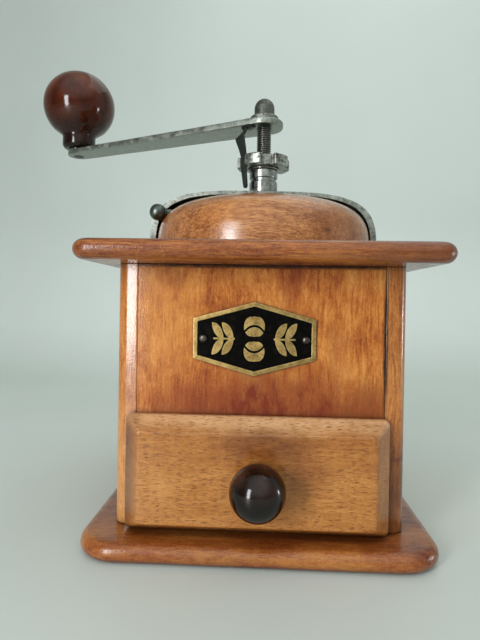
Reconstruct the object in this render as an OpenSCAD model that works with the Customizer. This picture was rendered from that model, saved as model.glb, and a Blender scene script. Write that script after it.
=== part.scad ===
// Hand crank coffee grinder: a wooden box mill with a drawer, a dome hopper and a hand crank.
// Millimetres. +Z is up and the front faces -Y.
// The origin lies on the spindle's axis, at the underside of the base board.

/* [Case] */
// Width of the case across its side walls
case_w = 128; // [118:1:146]
// Depth of the case from front to back
case_d = 128; // [118:1:146]
// Height of the walls between the base board and the top board
case_h = 116; // [106:1:140]
// Thickness of each side wall
wall_t = 9.6; // [7:0.2:12]
// Thickness of the front and back panels
panel_t = 8.4; // [6:0.2:12]
// Rounding of the upright outer corners
corner_round = 5.6; // [0.5:0.1:6]
// Length of the case screws above the base board
case_screw_reach = 18; // [10:1:25]
// Distance of the case screws from the middle of the depth
case_screw_y = 44; // [20:1:50]

/* [Boards] */
// Thickness of the base board
base_t = 8.5; // [7:0.5:14]
// How far the base board stands out at the sides and the back
base_out = 13; // [4:0.5:22]
// How far the base board stands out in front
base_out_front = 19.5; // [13:0.5:30]
// Corner radius of the base board, seen from above
base_corner_r = 18; // [8:0.5:28]
// Thickness of the top board
top_t = 8.5; // [7:0.5:12]
// How far the top board stands out at the sides and the back
top_out = 13; // [10:0.5:22]
// How far the top board stands out in front
top_out_front = 26; // [12:0.5:32]
// Corner radius of the top board, seen from above
top_corner_r = 8.4; // [7:0.2:20]
// Radius of the bore that feeds the mill
throat_r = 25; // [20:0.5:26]
// Radius of the dished mouth of that bore
throat_mouth_r = 34; // [28:0.5:40]
// Depth of the dished mouth
throat_mouth_depth = 5; // [2:0.5:6]

/* [Drawer] */
// Height of the drawer's front
front_h = 49.8; // [42:0.2:60]
// Thickness of the drawer's front
front_t = 11.8; // [9:0.2:16]
// How far the front laps over each side wall
front_lap = 2.7; // [1:0.1:5]
// Sideways place of the front's middle
front_x = -1; // [-1.5:0.1:1.5]
// How far the front laps over the panel above it
front_lap_top = 4.2; // [2:0.2:10]
// Width of the bevel at the ends of the front
bevel_end = 7.2; // [2:0.2:10]
// Height of the bevel along the top and bottom of the front
bevel_edge = 5.4; // [2:0.2:8]
// Thickness of the square edge behind the bevel
front_edge_t = 3; // [1:0.2:5]
// Rounding of the corners of the front's outline
front_round = 2.6; // [1:0.2:4]
// Room between the drawer's back and the case's back panel
drawer_room = 8; // [0.5:0.5:50]
// Thickness of the drawer's sides
drawer_side_t = 7; // [4:0.5:10]
// Thickness of the drawer's back
drawer_back_t = 7; // [4:0.5:10]
// Thickness of the drawer's bottom
drawer_bottom_t = 4; // [3:0.5:6]
// Gap between the drawer and the case around it
drawer_gap = 0.4; // [0.3:0.05:1]
// Gap above the drawer's sides
drawer_top_gap = 1.6; // [0.6:0.2:4]
// Radius of the drawer's ball knob
pull_r = 11.2; // [8:0.2:13]
// Height of the ball's centre above the foot of the front
pull_up = 24.7; // [16:0.1:32]
// Distance of the ball's centre from the face of the drawer
pull_reach = 11.8; // [9:0.2:18]
// Radius of the neck that carries the ball
pull_neck_r = 6.2; // [4:0.2:7.5]
// Radius of the screw that holds the ball knob
pull_screw_r = 2; // [1.5:0.1:2.5]

/* [Nameplate] */
// Width of the nameplate
plate_w = 53.6; // [40:0.2:70]
// Height of the nameplate at its points
plate_h = 32.4; // [20:0.2:40]
// Height of the nameplate's upright ends
plate_end_h = 17.6; // [8:0.2:19]
// Thickness of the nameplate
plate_t = 0.8; // [0.5:0.1:1.5]
// Width of the raised border
plate_rim = 1.9; // [1:0.1:3]
// Height of the raised border and of the relief above the plate
plate_relief = 0.5; // [0.3:0.05:1]
// Thickness of the dark ground inside the border
plate_ground_t = 0.2; // [0.1:0.05:0.25]
// Sideways place of the nameplate's middle
plate_x = -2.6; // [-8:0.2:8]
// Height of the nameplate's middle above the base board
plate_up = 83.6; // [80:0.2:86]
// Distance between the two nails
plate_nail_span = 44.8; // [34:0.2:46]
// Radius of a nail's head
plate_nail_r = 1.7; // [1:0.1:2.2]

/* [Hopper] */
// Radius of the metal shell
shell_r = 62.6; // [58:0.1:68]
// Height of the metal shell
shell_h = 35.8; // [33:0.1:45]
// Thickness of the shell's wall
shell_wall = 3.1; // [2:0.1:4]
// Thickness of the shell's crown
shell_crown_t = 1.9; // [1.4:0.1:3]
// Fullness of the dome's curve, where 2 is an ellipse
dome_power = 3.8; // [2.6:0.1:4.2]
// Distance of the shell's front rim from the spindle's axis
rim_front = 10; // [9.6:0.1:12]
// Turn of the front rim about the spindle
rim_turn = 3; // [0:1:8]
// Number of feet on the shell
foot_n = 3; // [2:1:3]
// Width of a foot
foot_w = 12; // [9:0.5:16]
// Reach of a foot beyond the shell
foot_reach = 8.5; // [7:0.5:9]
// Thickness of a foot
foot_t = 2.6; // [2:0.1:4]
// Angle between the feet
foot_step = 55; // [40:1:60]
// Gap between the wooden lid and the shell's wall
lid_gap = 1.1; // [0.5:0.1:3]
// Gap between the lid and the shell's crown
lid_crown_gap = 3.4; // [0.5:0.1:5]
// Gap under the lid
lid_floor_gap = 0.4; // [0.3:0.05:1]
// Thickness of the lid's wall at its foot
lid_wall = 7; // [5:0.5:10]
// Thickness of the lid's crown
lid_crown_t = 6.6; // [5:0.2:9]
// Fullness of the lid's curve
lid_power = 3.7; // [2.6:0.1:4]
// How far the closed lid reaches behind the spindle's axis
lid_lap = 3; // [1:0.5:5]
// Thickness of the bracket that hangs the lid on the bearing sleeve
bracket_t = 2; // [1.5:0.1:3]
// Width of the bracket
bracket_w = 12; // [9:0.5:16]
// Length of the bracket from the spindle's axis
bracket_l = 30; // [27:0.5:36]
// Radius of the steel ball on the lid
lid_ball_r = 4.4; // [3.5:0.05:6]
// Distance of the ball's centre from the spindle's axis
lid_ball_place = 58.8; // [56:0.1:66]
// Height of the ball above the top board
lid_ball_up = 22.3; // [18:0.1:24]
// Angle of the ball in front of the left side
lid_ball_turn = 18; // [17:0.2:30]
// Radius of the ball's stem
lid_stem_r = 1.9; // [1.4:0.1:2.5]
// Length of the stem in the lid
lid_stem_grip = 12; // [8:0.5:20]

/* [Bearing and adjustment] */
// Diameter of the spindle
spindle_d = 8; // [6:0.5:10]
// Pitch of the spindle's thread
pitch = 1.25; // [1:0.05:1.5]
// Radial clearance of every turning fit
run_fit = 0.06; // [0.02:0.01:0.1]
// Diameter of the bearing sleeve
sleeve_d = 15.8; // [14:0.2:16.6]
// Diameter of the groove in the sleeve
groove_d = 14.4; // [12.4:0.2:15.2]
// Height of the sleeve above the dome up to the groove
sleeve_low_h = 6.4; // [3:0.2:9]
// Width of the groove
groove_w = 2.2; // [1:0.1:4]
// Height of the ring above the groove
sleeve_ring_h = 4.6; // [3:0.2:8]
// Length of the sleeve below the bracket
sleeve_tail = 3.5; // [2:0.5:8]
// Wall of the shell's boss around the sleeve
boss_wall = 1.5; // [1:0.1:1.6]
// Thickness of the thrust washer
washer_t = 0.9; // [0.5:0.1:1.5]
// Radius of the thrust washer
washer_r = 8.6; // [8.4:0.1:10]
// Radius of the adjusting nut over its lobes
nut_r = 14.7; // [14:0.1:17]
// Radius at the foot of the nut's notches
nut_root_r = 11.6; // [10:0.1:12]
// Height of the adjusting nut
nut_h = 6; // [4:0.2:8]
// Number of lobes on the nut
nut_lobes = 5; // [4:1:6]
// Angle taken by one notch
notch_angle = 30; // [26:1:40]
// Travel of the spindle from the coarsest to the finest grind
grind_travel = 1.2; // [0.5:0.1:1.5]

/* [Crank] */
// Direction of the crank, counted from +X towards +Y
crank_angle = 156.6; // [0:0.1:360]
// Distance from the spindle to the grip's pin
crank_l = 138; // [100:1:170]
// Radius of the arm's hub end
arm_hub_r = 10.6; // [9.6:0.1:13]
// Radius of the arm's grip end
arm_end_r = 7.1; // [6.6:0.1:10]
// Thickness of the arm
arm_t = 3.6; // [2.5:0.1:5]
// Height of the arm above the adjusting nut
arm_lift = 16.7; // [14:0.1:24]
// Radius of the collar on the arm's hub
collar_r = 8.1; // [6.6:0.1:8.2]
// Height of the collar
collar_h = 3.4; // [2:0.1:5]
// Radius of the cap nut
cap_r = 5.65; // [5.4:0.05:6.4]
// Height of the cap nut's straight part
cap_low_h = 4.3; // [3:0.1:8]
// Radius of the ball grip
grip_r = 23.3; // [18:0.1:26]
// Height of the grip's upper and lower halves, a little less than its radius
grip_half_h = 22.6; // [18:0.1:26]
// Radius of the grip's neck
grip_neck_r = 10.7; // [9:0.1:14]
// Height of the grip's centre above its foot
grip_up = 29.3; // [26:0.1:36]
// Rounding at the foot of the grip's neck
grip_foot_round = 3; // [1:0.1:4]
// Radius of the pin in the grip
pin_r = 3; // [2:0.1:4]
// Radius of the pin's head
pin_head_r = 5; // [4.5:0.1:6]
// Depth of the hole for the pin's head in the top of the grip
pin_sink = 8; // [6:0.2:12]
// Thickness of the washer under the grip
grip_washer_t = 0.8; // [0.5:0.1:1.5]
// End play of the grip on its pin
grip_play = 0.3; // [0.2:0.05:0.6]

/* [Nut catch] */
// Turn of the catch from the arm about the spindle
catch_turn = 51.4; // [45:0.1:60]
// Thickness of the catch's spring strip
catch_t = 1; // [0.7:0.05:1.2]
// Width of the catch where it lies in the notch
catch_w = 4.4; // [3:0.1:5]
// Width of the catch over its shoulders
catch_shoulder_w = 6; // [4.5:0.1:7]
// Width of the catch at its neck
catch_neck_w = 2.8; // [2:0.1:3.6]
// How far the catch bulges beyond its straight part
catch_bulge = 2.5; // [1.5:0.1:3.5]
// How far the catch's tip leans in towards the spindle
catch_lean = 1.5; // [0:0.1:1.8]
// Length of the catch below the nut
catch_tail = 11.6; // [6:0.2:11.8]
// Gap between the catch and the foot of its notch
catch_gap = 0.35; // [0.2:0.05:0.6]
// Radius of the catch's rivet
catch_rivet_r = 1.1; // [0.8:0.05:1.3]

/* [Mill] */
// Radius of the mill's flange
flange_r = 42; // [38:0.5:46]
// Thickness of the mill's flange
flange_t = 4; // [3:0.2:6]
// Radius of the mill's inside
mill_r = 27; // [26.5:0.1:29]
// Wall of the mill's housing
mill_wall = 4.5; // [3.5:0.1:6]
// Height of the mill's housing below its flange
mill_h = 28.5; // [28:0.5:34]
// Height of the burr ring
ring_h = 24; // [22:0.5:26]
// Height of the narrowest place above the ring's foot
ring_waist_up = 10; // [8:0.5:12]
// Radius of the ring's upper mouth
ring_top_r = 24; // [20:0.2:25]
// Radius of the ring at its narrowest place
ring_waist_r = 17.5; // [16:0.2:19]
// Radius of the ring at its foot
ring_foot_r = 22.5; // [21:0.2:24]
// Radial gap between the burrs at the coarsest grind
burr_gap = 1; // [0.9:0.05:1.5]
// Height of the cone above the narrowest place
cone_tip_h = 10; // [6:0.5:14]
// Radius of the cone's tip
cone_tip_r = 7.2; // [6.5:0.1:9]
// Number of fine teeth on the cone
cone_teeth = 16; // [10:1:24]
// Number of fine teeth in the ring
ring_teeth = 18; // [10:1:26]
// Radius of the cone's cross pin
cone_pin_r = 1.5; // [1:0.1:2]
// Width of the bridge under the mill
bridge_w = 12; // [10:0.5:16]
// Thickness of the bridge
bridge_t = 4; // [3:0.2:6]
// Radius of the bridge's hub
bridge_hub_r = 9; // [8:0.2:11]
// Radius of the lower bush
bush_r = 6; // [5.4:0.1:7]
// Length of the lower bush
bush_l = 9; // [6:0.5:12]
// How far the spindle reaches below the lower bush
spindle_tail = 2; // [1.5:0.5:5]

/* [Hidden] */
$fn = 64;

// A cut runs past the faces it opens by this much
eps = 0.5;
// A straight side ends this far inside the round that it meets
seam = 0.02;
// Thin vertical play between the turning nut and its washer
nut_play = 0.05;

// Levels
top_under_z = base_t + case_h;
top_z = top_under_z + top_t;
crown_z = top_z + shell_h;
sleeve_top_z = crown_z + sleeve_low_h + groove_w + sleeve_ring_h;
nut_z = sleeve_top_z + washer_t + nut_play;
nut_top_z = nut_z + nut_h;
arm_z = nut_top_z + arm_lift;
arm_top_z = arm_z + arm_t;
cap_z = arm_top_z + collar_h;

// Case
face_y = -case_d / 2;
inner_x = case_w / 2 - wall_t;
front_z = base_t + drawer_gap;
opening_z = front_z + front_h - front_lap_top;
wall_corner_r = min(corner_round, wall_t - 1);
case_screw_x = case_w / 2 - wall_t / 2;
case_screw_r = 1.9;
case_screw_head_r = 3.6;
case_screw_head_h = 2.4;

// Drawer
front_w = 2 * (inner_x + front_lap);
drawer_w = 2 * (inner_x - drawer_gap);
drawer_y = face_y - drawer_gap;
drawer_face_y = drawer_y - front_t;
drawer_back_y = case_d / 2 - panel_t - drawer_room;
drawer_l = drawer_back_y - drawer_y;
drawer_top_z = opening_z - drawer_top_gap;
pull_z = front_z + pull_up;
pull_y = drawer_face_y - pull_reach;
pull_neck_l = pull_reach - sqrt(pull_r * pull_r - pull_neck_r * pull_neck_r) + 1;
pull_screw_head_r = 4.2;
pull_screw_head_h = 2.2;
pull_screw_reach = 9;

// Nameplate
plate_z = base_t + plate_up;
plate_nail_reach = 5;
plate_nail_shank_r = 0.7;

// Shell and lid
shell_in_r = shell_r - shell_wall;
shell_in_h = shell_h - shell_crown_t;
dome_steps = 22;
foot_hole_r = 2.1;
foot_hole_place = shell_r + foot_reach - 4;
foot_screw_head_r = 3.7;
foot_screw_head_h = 2.2;
foot_screw_reach = 6;
lid_z = top_z + lid_floor_gap;
lid_r = shell_in_r - lid_gap;
lid_h = shell_in_h - lid_crown_gap - lid_floor_gap;
lid_in_r = lid_r - lid_wall;
lid_in_h = lid_h - lid_crown_t;
sleeve_r = sleeve_d / 2;
boss_r = sleeve_r + boss_wall;
boss_clear = 0.5;
bracket_top_z = lid_z + lid_in_h;
boss_z = bracket_top_z + boss_clear;
bracket_z = bracket_top_z - bracket_t;
bracket_bore_r = sleeve_r + run_fit;
bracket_fit = 0.1;
bracket_eye_r = bracket_bore_r + 4;
bracket_screw_r = 1.6;
bracket_screw_head_r = 3;
bracket_screw_head_h = 1.8;
bracket_screw_reach = 4.4;
bracket_screw_ends = [bracket_l - 5, bracket_l - 13];
lid_ball_z = top_z + lid_ball_up;
lid_ball_angle = 180 + lid_ball_turn;
stem_fit = 0.1;
stem_end = lid_r * pow(1 - pow((lid_ball_z - lid_z) / lid_h, lid_power), 1 / lid_power) - lid_stem_grip;

// Spindle and bearings
spindle_r = spindle_d / 2;
thread_depth = 0.54 * pitch;
spindle_chamfer = 0.8;
bore_r = spindle_r + run_fit;
sleeve_bottom_z = bracket_z - sleeve_tail;
spindle_top_z = cap_z + cap_low_h;
thread_z = sleeve_top_z;
thread_turns = floor((spindle_top_z - thread_z) / pitch);
nut_chamfer = 0.6;
catch_angle = crank_angle + catch_turn;

// Crank
cap_dome_h = cap_r;
cap_roof = 0.6;
arm_slope = asin((arm_hub_r - arm_end_r) / crank_l);
pin_countersink = 1.2;
pin_foot_z = arm_z + 0.3;
grip_foot_z = arm_top_z + grip_washer_t + grip_play;
grip_z = grip_foot_z + grip_up;
grip_bore_r = pin_r + run_fit;
pin_seat_z = grip_z + grip_half_h - pin_sink;
pin_head_z = pin_seat_z + grip_play;
pin_head_h = 2.4;
pin_head_top_r = pin_head_r * 0.7;
grip_sink_r = pin_head_r + 0.6;

// Nut catch, drawn in the upright plane through its middle
catch_in_r = nut_root_r + catch_gap;
catch_mid_r = catch_in_r + catch_t / 2;
catch_pivot_r = catch_mid_r - 0.3;
catch_pivot_z = arm_z - 3.1;
catch_knuckle_r = catch_t * 0.55;
catch_foot_gap = 0.3;
catch_knee_z = catch_pivot_z + catch_knuckle_r + catch_foot_gap;
catch_foot_in_r = 7.1;
catch_foot_out_r = catch_pivot_r + catch_t / 2;
catch_foot_w = 5.2;
catch_rivet_head_r = catch_rivet_r + 0.5;
catch_rivet_gap = 0.25;
catch_rivet_place = collar_r + catch_rivet_gap + catch_rivet_head_r;
catch_rivet_head_h = 0.7;
catch_tip_z = nut_z - catch_tail;
catch_crest_drop = 3.4;
catch_crest_h = 1.4;
catch_slope_drop = 9.4;
catch_slope_out = catch_bulge * 0.35;
catch_line = [
    [catch_pivot_r, catch_pivot_z],
    [catch_mid_r + catch_bulge, catch_pivot_z - catch_crest_drop],
    [catch_mid_r + catch_bulge * 0.9, catch_pivot_z - catch_crest_drop - catch_crest_h],
    [catch_mid_r + catch_slope_out, catch_pivot_z - catch_slope_drop],
    [catch_mid_r, nut_top_z],
    [catch_mid_r, nut_z],
    [catch_mid_r - catch_lean, catch_tip_z]
];

// Mill
mill_out_r = mill_r + mill_wall;
mill_foot_z = top_under_z - flange_t - mill_h;
ring_fit = 0.03;
ring_out_r = mill_r - ring_fit;
ring_sink = 0.5;
ring_top_z = top_under_z - flange_t - ring_sink;
ring_foot_z = ring_top_z - ring_h;
waist_z = ring_foot_z + ring_waist_up;
cone_foot_r = ring_foot_r - burr_gap;
cone_waist_r = ring_waist_r - burr_gap;
cone_top_z = waist_z + cone_tip_h;
cone_pin_z = waist_z + cone_tip_h / 2;
cone_pin_turn = 11;
fine_cut = 0.9;
coarse_cut = 1.45;
tooth_skew = 14;
cone_pin_l = cone_tip_r + cone_waist_r - 3;
mill_screw_r = 1.9;
mill_screw_place = (flange_r + mill_out_r) / 2;
mill_screw_head_r = 3.4;
mill_screw_head_h = 2;
mill_screw_reach = 5.5;
lug_r = 5;
lug_h = 8;
lug_place = mill_r + lug_r;
bridge_screw_r = 1.5;
bridge_screw_head_r = 2.8;
bridge_screw_head_h = 1.8;
bridge_screw_reach = 6;
bridge_hub_h = 2 * bridge_t;
bush_stand = 0.5;
bush_top_z = mill_foot_z + bush_stand;
spindle_bottom_z = bush_top_z - bush_l - spindle_tail;

// Curve of a bun-shaped dome: a quarter of a superellipse from its foot to its crown
function bun(r, h, power) = [for (i = [0 : dome_steps])
    [r * pow(cos(90 * i / dome_steps), 2 / power), h * pow(sin(90 * i / dome_steps), 2 / power)]];

// The same list from its last point to its first
function reversed(list) = [for (i = [len(list) - 1 : -1 : 0]) list[i]];

// Direction of a line of points at point i
function line_dir(p, i) = let (a = p[max(i - 1, 0)], b = p[min(i + 1, len(p) - 1)], d = b - a) d / norm(d);

// One side of a strip of thickness t drawn along a line of points
function strip_side(p, t) = [for (i = [0 : len(p) - 1])
    let (d = line_dir(p, i)) p[i] + t / 2 * [-d[1], d[0]]];

// Section of a board's edge: a flat part as long as the corner radius, ending in a half round
module bullnose_section(r, t) {
    square([r - t / 2, t]);
    translate([r - t / 2, t / 2])
        intersection() {
            circle(d = t);
            translate([0, -t / 2]) square([t / 2, t]);
        }
}

// A board with a half-round edge all round and rounded corners
module bullnose_board(x0, x1, y0, y1, t, r) {
    translate([x0 + r, y0 + r, 0]) cube([x1 - x0 - 2 * r, y1 - y0 - 2 * r, t]);
    bullnose_side([x1 - r, y0 + r], 0, y1 - y0 - 2 * r, t, r);
    bullnose_side([x1 - r, y1 - r], 90, x1 - x0 - 2 * r, t, r);
    bullnose_side([x0 + r, y1 - r], 180, y1 - y0 - 2 * r, t, r);
    bullnose_side([x0 + r, y0 + r], 270, x1 - x0 - 2 * r, t, r);
}

// One straight side of such a board, and the corner that follows it
module bullnose_side(corner, turn, length, t, r) {
    translate([corner[0], corner[1], 0]) rotate([0, 0, turn]) {
        rotate([90, 0, 0]) mirror([0, 0, 1]) linear_extrude(length) bullnose_section(r, t);
        translate([0, length, 0]) rotate_extrude(angle = 90) bullnose_section(r, t);
    }
}

// A screw that points up from its head: the head stands below z = 0 and the shank reaches above it
module screw_up(shank_r, reach, head_r, head_h) {
    cylinder(r = shank_r, h = reach);
    translate([0, 0, -head_h]) cylinder(r1 = head_r * 0.8, r2 = head_r, h = head_h);
}

// A countersunk screw that points up, its flat head at z = 0
module countersunk_up(shank_r, reach, head_r, head_h) {
    cylinder(r1 = head_r, r2 = shank_r, h = head_h);
    cylinder(r = shank_r, h = reach);
}

// Places of the four case screws
module at_case_screws() {
    for (sx = [-1, 1], sy = [-1, 1])
        translate([sx * case_screw_x, sy * case_screw_y, 0]) children();
}

module base_board() {
    color("peru")
        difference() {
            bullnose_board(-case_w / 2 - base_out, case_w / 2 + base_out, face_y - base_out_front,
                case_d / 2 + base_out, base_t, base_corner_r);
            at_case_screws() {
                translate([0, 0, -eps]) cylinder(r = case_screw_r, h = base_t + 2 * eps);
                translate([0, 0, -eps])
                    cylinder(r = case_screw_head_r, h = eps);
                cylinder(r1 = case_screw_head_r, r2 = case_screw_r, h = case_screw_head_h);
            }
        }
}

// A side wall, drawn for the right side
module side_wall() {
    difference() {
        translate([0, 0, base_t])
            linear_extrude(case_h)
                union() {
                    translate([inner_x, face_y]) square([wall_t - wall_corner_r, case_d]);
                    translate([inner_x, face_y + wall_corner_r]) square([wall_t, case_d - 2 * wall_corner_r]);
                    for (sy = [0, 1]) mirror([0, sy])
                        translate([case_w / 2 - wall_corner_r, case_d / 2 - wall_corner_r])
                            intersection() {
                                circle(r = wall_corner_r);
                                square(wall_corner_r);
                            }
                }
        at_case_screws() cylinder(r = case_screw_r, h = base_t + case_screw_reach);
    }
}

module right_wall() {
    color("chocolate") side_wall();
}

module left_wall() {
    color("chocolate") mirror([1, 0, 0]) side_wall();
}

module front_panel() {
    color("chocolate")
        difference() {
            translate([-inner_x, face_y, opening_z]) cube([2 * inner_x, panel_t, top_under_z - opening_z]);
            at_plate_nails() rotate([90, 0, 0])
                cylinder(r = plate_nail_shank_r, h = 2 * plate_nail_reach, center = true);
        }
}

module back_panel() {
    color("chocolate")
        translate([-inner_x, case_d / 2 - panel_t, base_t]) cube([2 * inner_x, panel_t, case_h]);
}

module top_board() {
    color("peru")
        difference() {
            translate([0, 0, top_under_z])
                bullnose_board(-case_w / 2 - top_out, case_w / 2 + top_out, face_y - top_out_front,
                    case_d / 2 + top_out, top_t, top_corner_r);
            translate([0, 0, top_under_z - eps]) cylinder(r = throat_r, h = top_t + 2 * eps);
            translate([0, 0, top_z - throat_mouth_depth])
                cylinder(r1 = throat_r, r2 = throat_mouth_r, h = throat_mouth_depth);
            translate([0, 0, top_z]) cylinder(r = throat_mouth_r, h = eps);
            at_mill_screws() cylinder(r = mill_screw_r, h = flange_t + mill_screw_reach);
            at_feet() translate([foot_hole_place, 0, -foot_screw_reach])
                cylinder(r = foot_hole_r, h = foot_screw_reach + eps);
        }
}

module case_screws() {
    color("gray") at_case_screws()
        countersunk_up(case_screw_r, base_t + case_screw_reach, case_screw_head_r, case_screw_head_h);
}

// Outline of the nameplate, drawn in by a margin on every side
module plate_outline(margin) {
    slope = atan2(plate_h - plate_end_h, plate_w);
    drop = margin / cos(slope);
    w = plate_w / 2 - margin;
    tip = plate_h / 2 - drop;
    end = plate_end_h / 2 - drop + margin * tan(slope);
    polygon([[w, -end], [w, end], [0, tip], [-w, end], [-w, -end], [0, -tip]]);
}

// Puts a drawing that lies in the XY plane upright on the front panel, at a distance in front of it
module on_panel(out) {
    translate([plate_x, face_y - out, plate_z]) rotate([90, 0, 0]) children();
}

module at_plate_nails() {
    for (s = [-1, 1]) translate([plate_x + s * plate_nail_span / 2, face_y, plate_z]) children();
}

module plate_nail_holes() {
    for (s = [-1, 1]) translate([s * plate_nail_span / 2, 0, -eps])
        cylinder(r = plate_nail_shank_r, h = plate_t + plate_relief + 2 * eps);
}

module nameplate() {
    color("goldenrod")
        on_panel(0)
            difference() {
                linear_extrude(plate_t + plate_relief) plate_outline(0);
                translate([0, 0, plate_t]) linear_extrude(plate_relief + eps) plate_outline(plate_rim);
                plate_nail_holes();
            }
}

module nameplate_field() {
    color("black")
        on_panel(plate_t)
            difference() {
                linear_extrude(plate_ground_t) plate_outline(plate_rim);
                for (s = [-1, 1]) translate([s * plate_nail_span / 2, 0, -eps])
                    cylinder(r = plate_nail_shank_r, h = plate_ground_t + 2 * eps);
            }
}

// A leaf: two arcs that meet in points, from the origin along +X
module leaf(length, width) {
    r = (length * length / 4 + width * width / 4) / width;
    intersection() {
        translate([length / 2, r - width / 2]) circle(r = r);
        translate([length / 2, width / 2 - r]) circle(r = r);
    }
}

// A coffee bean with its crease, which bows towards +Y
module bean(length) {
    end_r = length * 0.33;
    belly_r = length * 0.34;
    crease_r = length * 0.64;
    crease_t = length * 0.08;
    crease_drop = length * 0.62;
    difference() {
        union() {
            circle(r = belly_r);
            for (s = [-1, 1]) translate([s * (length / 2 - end_r), 0]) circle(r = end_r);
        }
        translate([0, -crease_drop])
            difference() {
                circle(r = crease_r + crease_t / 2);
                circle(r = crease_r - crease_t / 2);
            }
    }
}

// A sprig along +X: a stalk with two pairs of leaves
module sprig(leaf_l) {
    leaf_w = leaf_l * 0.42;
    leaf_turn = 44;
    pair_step = leaf_l * 0.62;
    stalk_t = leaf_l * 0.08;
    translate([-stalk_t, -stalk_t / 2]) square([2 * pair_step + stalk_t, stalk_t]);
    for (i = [0 : 1], up = [-1, 1])
        translate([i * pair_step, 0]) rotate([0, 0, up * leaf_turn]) leaf(leaf_l, leaf_w);
}

// Raised figure of the nameplate: two beans between two leafy sprigs
module nameplate_relief() {
    bean_l = plate_end_h * 0.46;
    bean_y = bean_l * 0.42;
    color("gold")
        on_panel(plate_t + plate_ground_t)
            linear_extrude(plate_relief - plate_ground_t) {
                for (turn = [0, 180]) rotate([0, 0, turn]) {
                    translate([0, bean_y]) bean(bean_l);
                    translate([bean_l, 0]) sprig(plate_end_h * 0.36);
                }
            }
}

module nameplate_nails() {
    color("dimgray")
        at_plate_nails() {
            rotate([90, 0, 0]) translate([0, 0, -plate_nail_reach])
                cylinder(r = plate_nail_shank_r, h = plate_nail_reach + plate_t + plate_relief);
            translate([0, -plate_t - plate_ground_t, 0])
                intersection() {
                    sphere(r = plate_nail_r);
                    translate([-plate_nail_r, -plate_nail_r, -plate_nail_r])
                        cube([2 * plate_nail_r, plate_nail_r, 2 * plate_nail_r]);
                }
        }
}

// Section across a bevelled board: half size s at the back, drawn in by b at the face
module bevel_section(s, b) {
    polygon([[-s, 0], [-s, front_edge_t], [b - s, front_t], [s - b, front_t], [s, front_edge_t], [s, 0]]);
}

module drawer_front() {
    middle_z = front_z + front_h / 2;
    color("burlywood")
        difference() {
            translate([front_x, drawer_y, middle_z])
                rotate([90, 0, 0])
                    intersection() {
                        rotate([0, -90, 0]) rotate([0, 0, -90]) translate([0, 0, -front_w / 2])
                            linear_extrude(front_w) bevel_section(front_h / 2, bevel_edge);
                        rotate([90, 0, 0]) translate([0, 0, -front_h / 2])
                            linear_extrude(front_h) bevel_section(front_w / 2, bevel_end);
                        linear_extrude(front_t) front_outline();
                    }
            translate([0, drawer_y + eps, pull_z]) rotate([90, 0, 0])
                cylinder(r = pull_screw_r, h = front_t + 2 * eps);
        }
}

// Outline of the drawer's front with rounded corners
module front_outline() {
    w = front_w / 2;
    h = front_h / 2;
    translate([-w, front_round - h]) square([2 * w, 2 * h - 2 * front_round]);
    translate([front_round - w, -h]) square([2 * w - 2 * front_round, 2 * h]);
    for (sx = [-1, 1], sy = [-1, 1])
        translate([sx * (w - front_round), sy * (h - front_round)]) circle(r = front_round);
}

// A drawer side, drawn for the right side
module drawer_side() {
    translate([drawer_w / 2 - drawer_side_t, drawer_y, front_z])
        cube([drawer_side_t, drawer_l, drawer_top_z - front_z]);
}

module drawer_right_side() {
    color("tan") drawer_side();
}

module drawer_left_side() {
    color("tan") mirror([1, 0, 0]) drawer_side();
}

module drawer_back() {
    inner_w = drawer_w - 2 * drawer_side_t;
    color("tan")
        translate([-inner_w / 2, drawer_back_y - drawer_back_t, front_z])
            cube([inner_w, drawer_back_t, drawer_top_z - front_z]);
}

module drawer_bottom() {
    inner_w = drawer_w - 2 * drawer_side_t;
    color("wheat")
        translate([-inner_w / 2, drawer_y, front_z])
            cube([inner_w, drawer_l - drawer_back_t, drawer_bottom_t]);
}

module drawer_knob() {
    color([0.16, 0.11, 0.09])
        difference() {
            union() {
                translate([0, pull_y, pull_z]) sphere(r = pull_r, $fn = 96);
                translate([0, drawer_face_y, pull_z]) rotate([90, 0, 0])
                    cylinder(r = pull_neck_r, h = pull_neck_l);
            }
            translate([0, drawer_face_y + eps, pull_z]) rotate([90, 0, 0])
                cylinder(r = pull_screw_r, h = eps + pull_screw_reach);
        }
}

module drawer_knob_screw() {
    color("silver")
        translate([0, drawer_y, pull_z])
            rotate([90, 0, 0])
                screw_up(pull_screw_r, front_t + pull_screw_reach, pull_screw_head_r, pull_screw_head_h);
}

// Places of the shell's feet, on the top board
module at_feet() {
    for (i = [0 : foot_n - 1])
        translate([0, 0, top_z]) rotate([0, 0, 90 + foot_step * (i - (foot_n - 1) / 2)]) children();
}

module hopper_shell() {
    color([0.48, 0.5, 0.46])
        difference() {
            union() {
                intersection() {
                    translate([0, 0, top_z])
                        rotate_extrude($fn = 96)
                            polygon(concat(bun(shell_r, shell_h, dome_power),
                                reversed(bun(shell_in_r, shell_in_h, dome_power))));
                    rotate([0, 0, rim_turn]) translate([-2 * shell_r, -rim_front, top_z])
                        cube([4 * shell_r, 3 * shell_r, shell_h]);
                }
                translate([0, 0, boss_z]) cylinder(r = boss_r, h = crown_z - shell_crown_t / 2 - boss_z);
                at_feet()
                    difference() {
                        translate([shell_r - shell_wall / 2, -foot_w / 2, 0])
                            cube([foot_reach + shell_wall / 2, foot_w, foot_t]);
                        translate([foot_hole_place, 0, -eps]) cylinder(r = foot_hole_r, h = foot_t + 2 * eps);
                    }
            }
            translate([0, 0, boss_z - eps]) cylinder(r = sleeve_r, h = crown_z - boss_z + 2 * eps);
        }
}

module hopper_screws() {
    color("gray")
        at_feet()
            translate([foot_hole_place, 0, foot_t]) mirror([0, 0, 1])
                screw_up(foot_hole_r, foot_t + foot_screw_reach, foot_screw_head_r, foot_screw_head_h);
}

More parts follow.
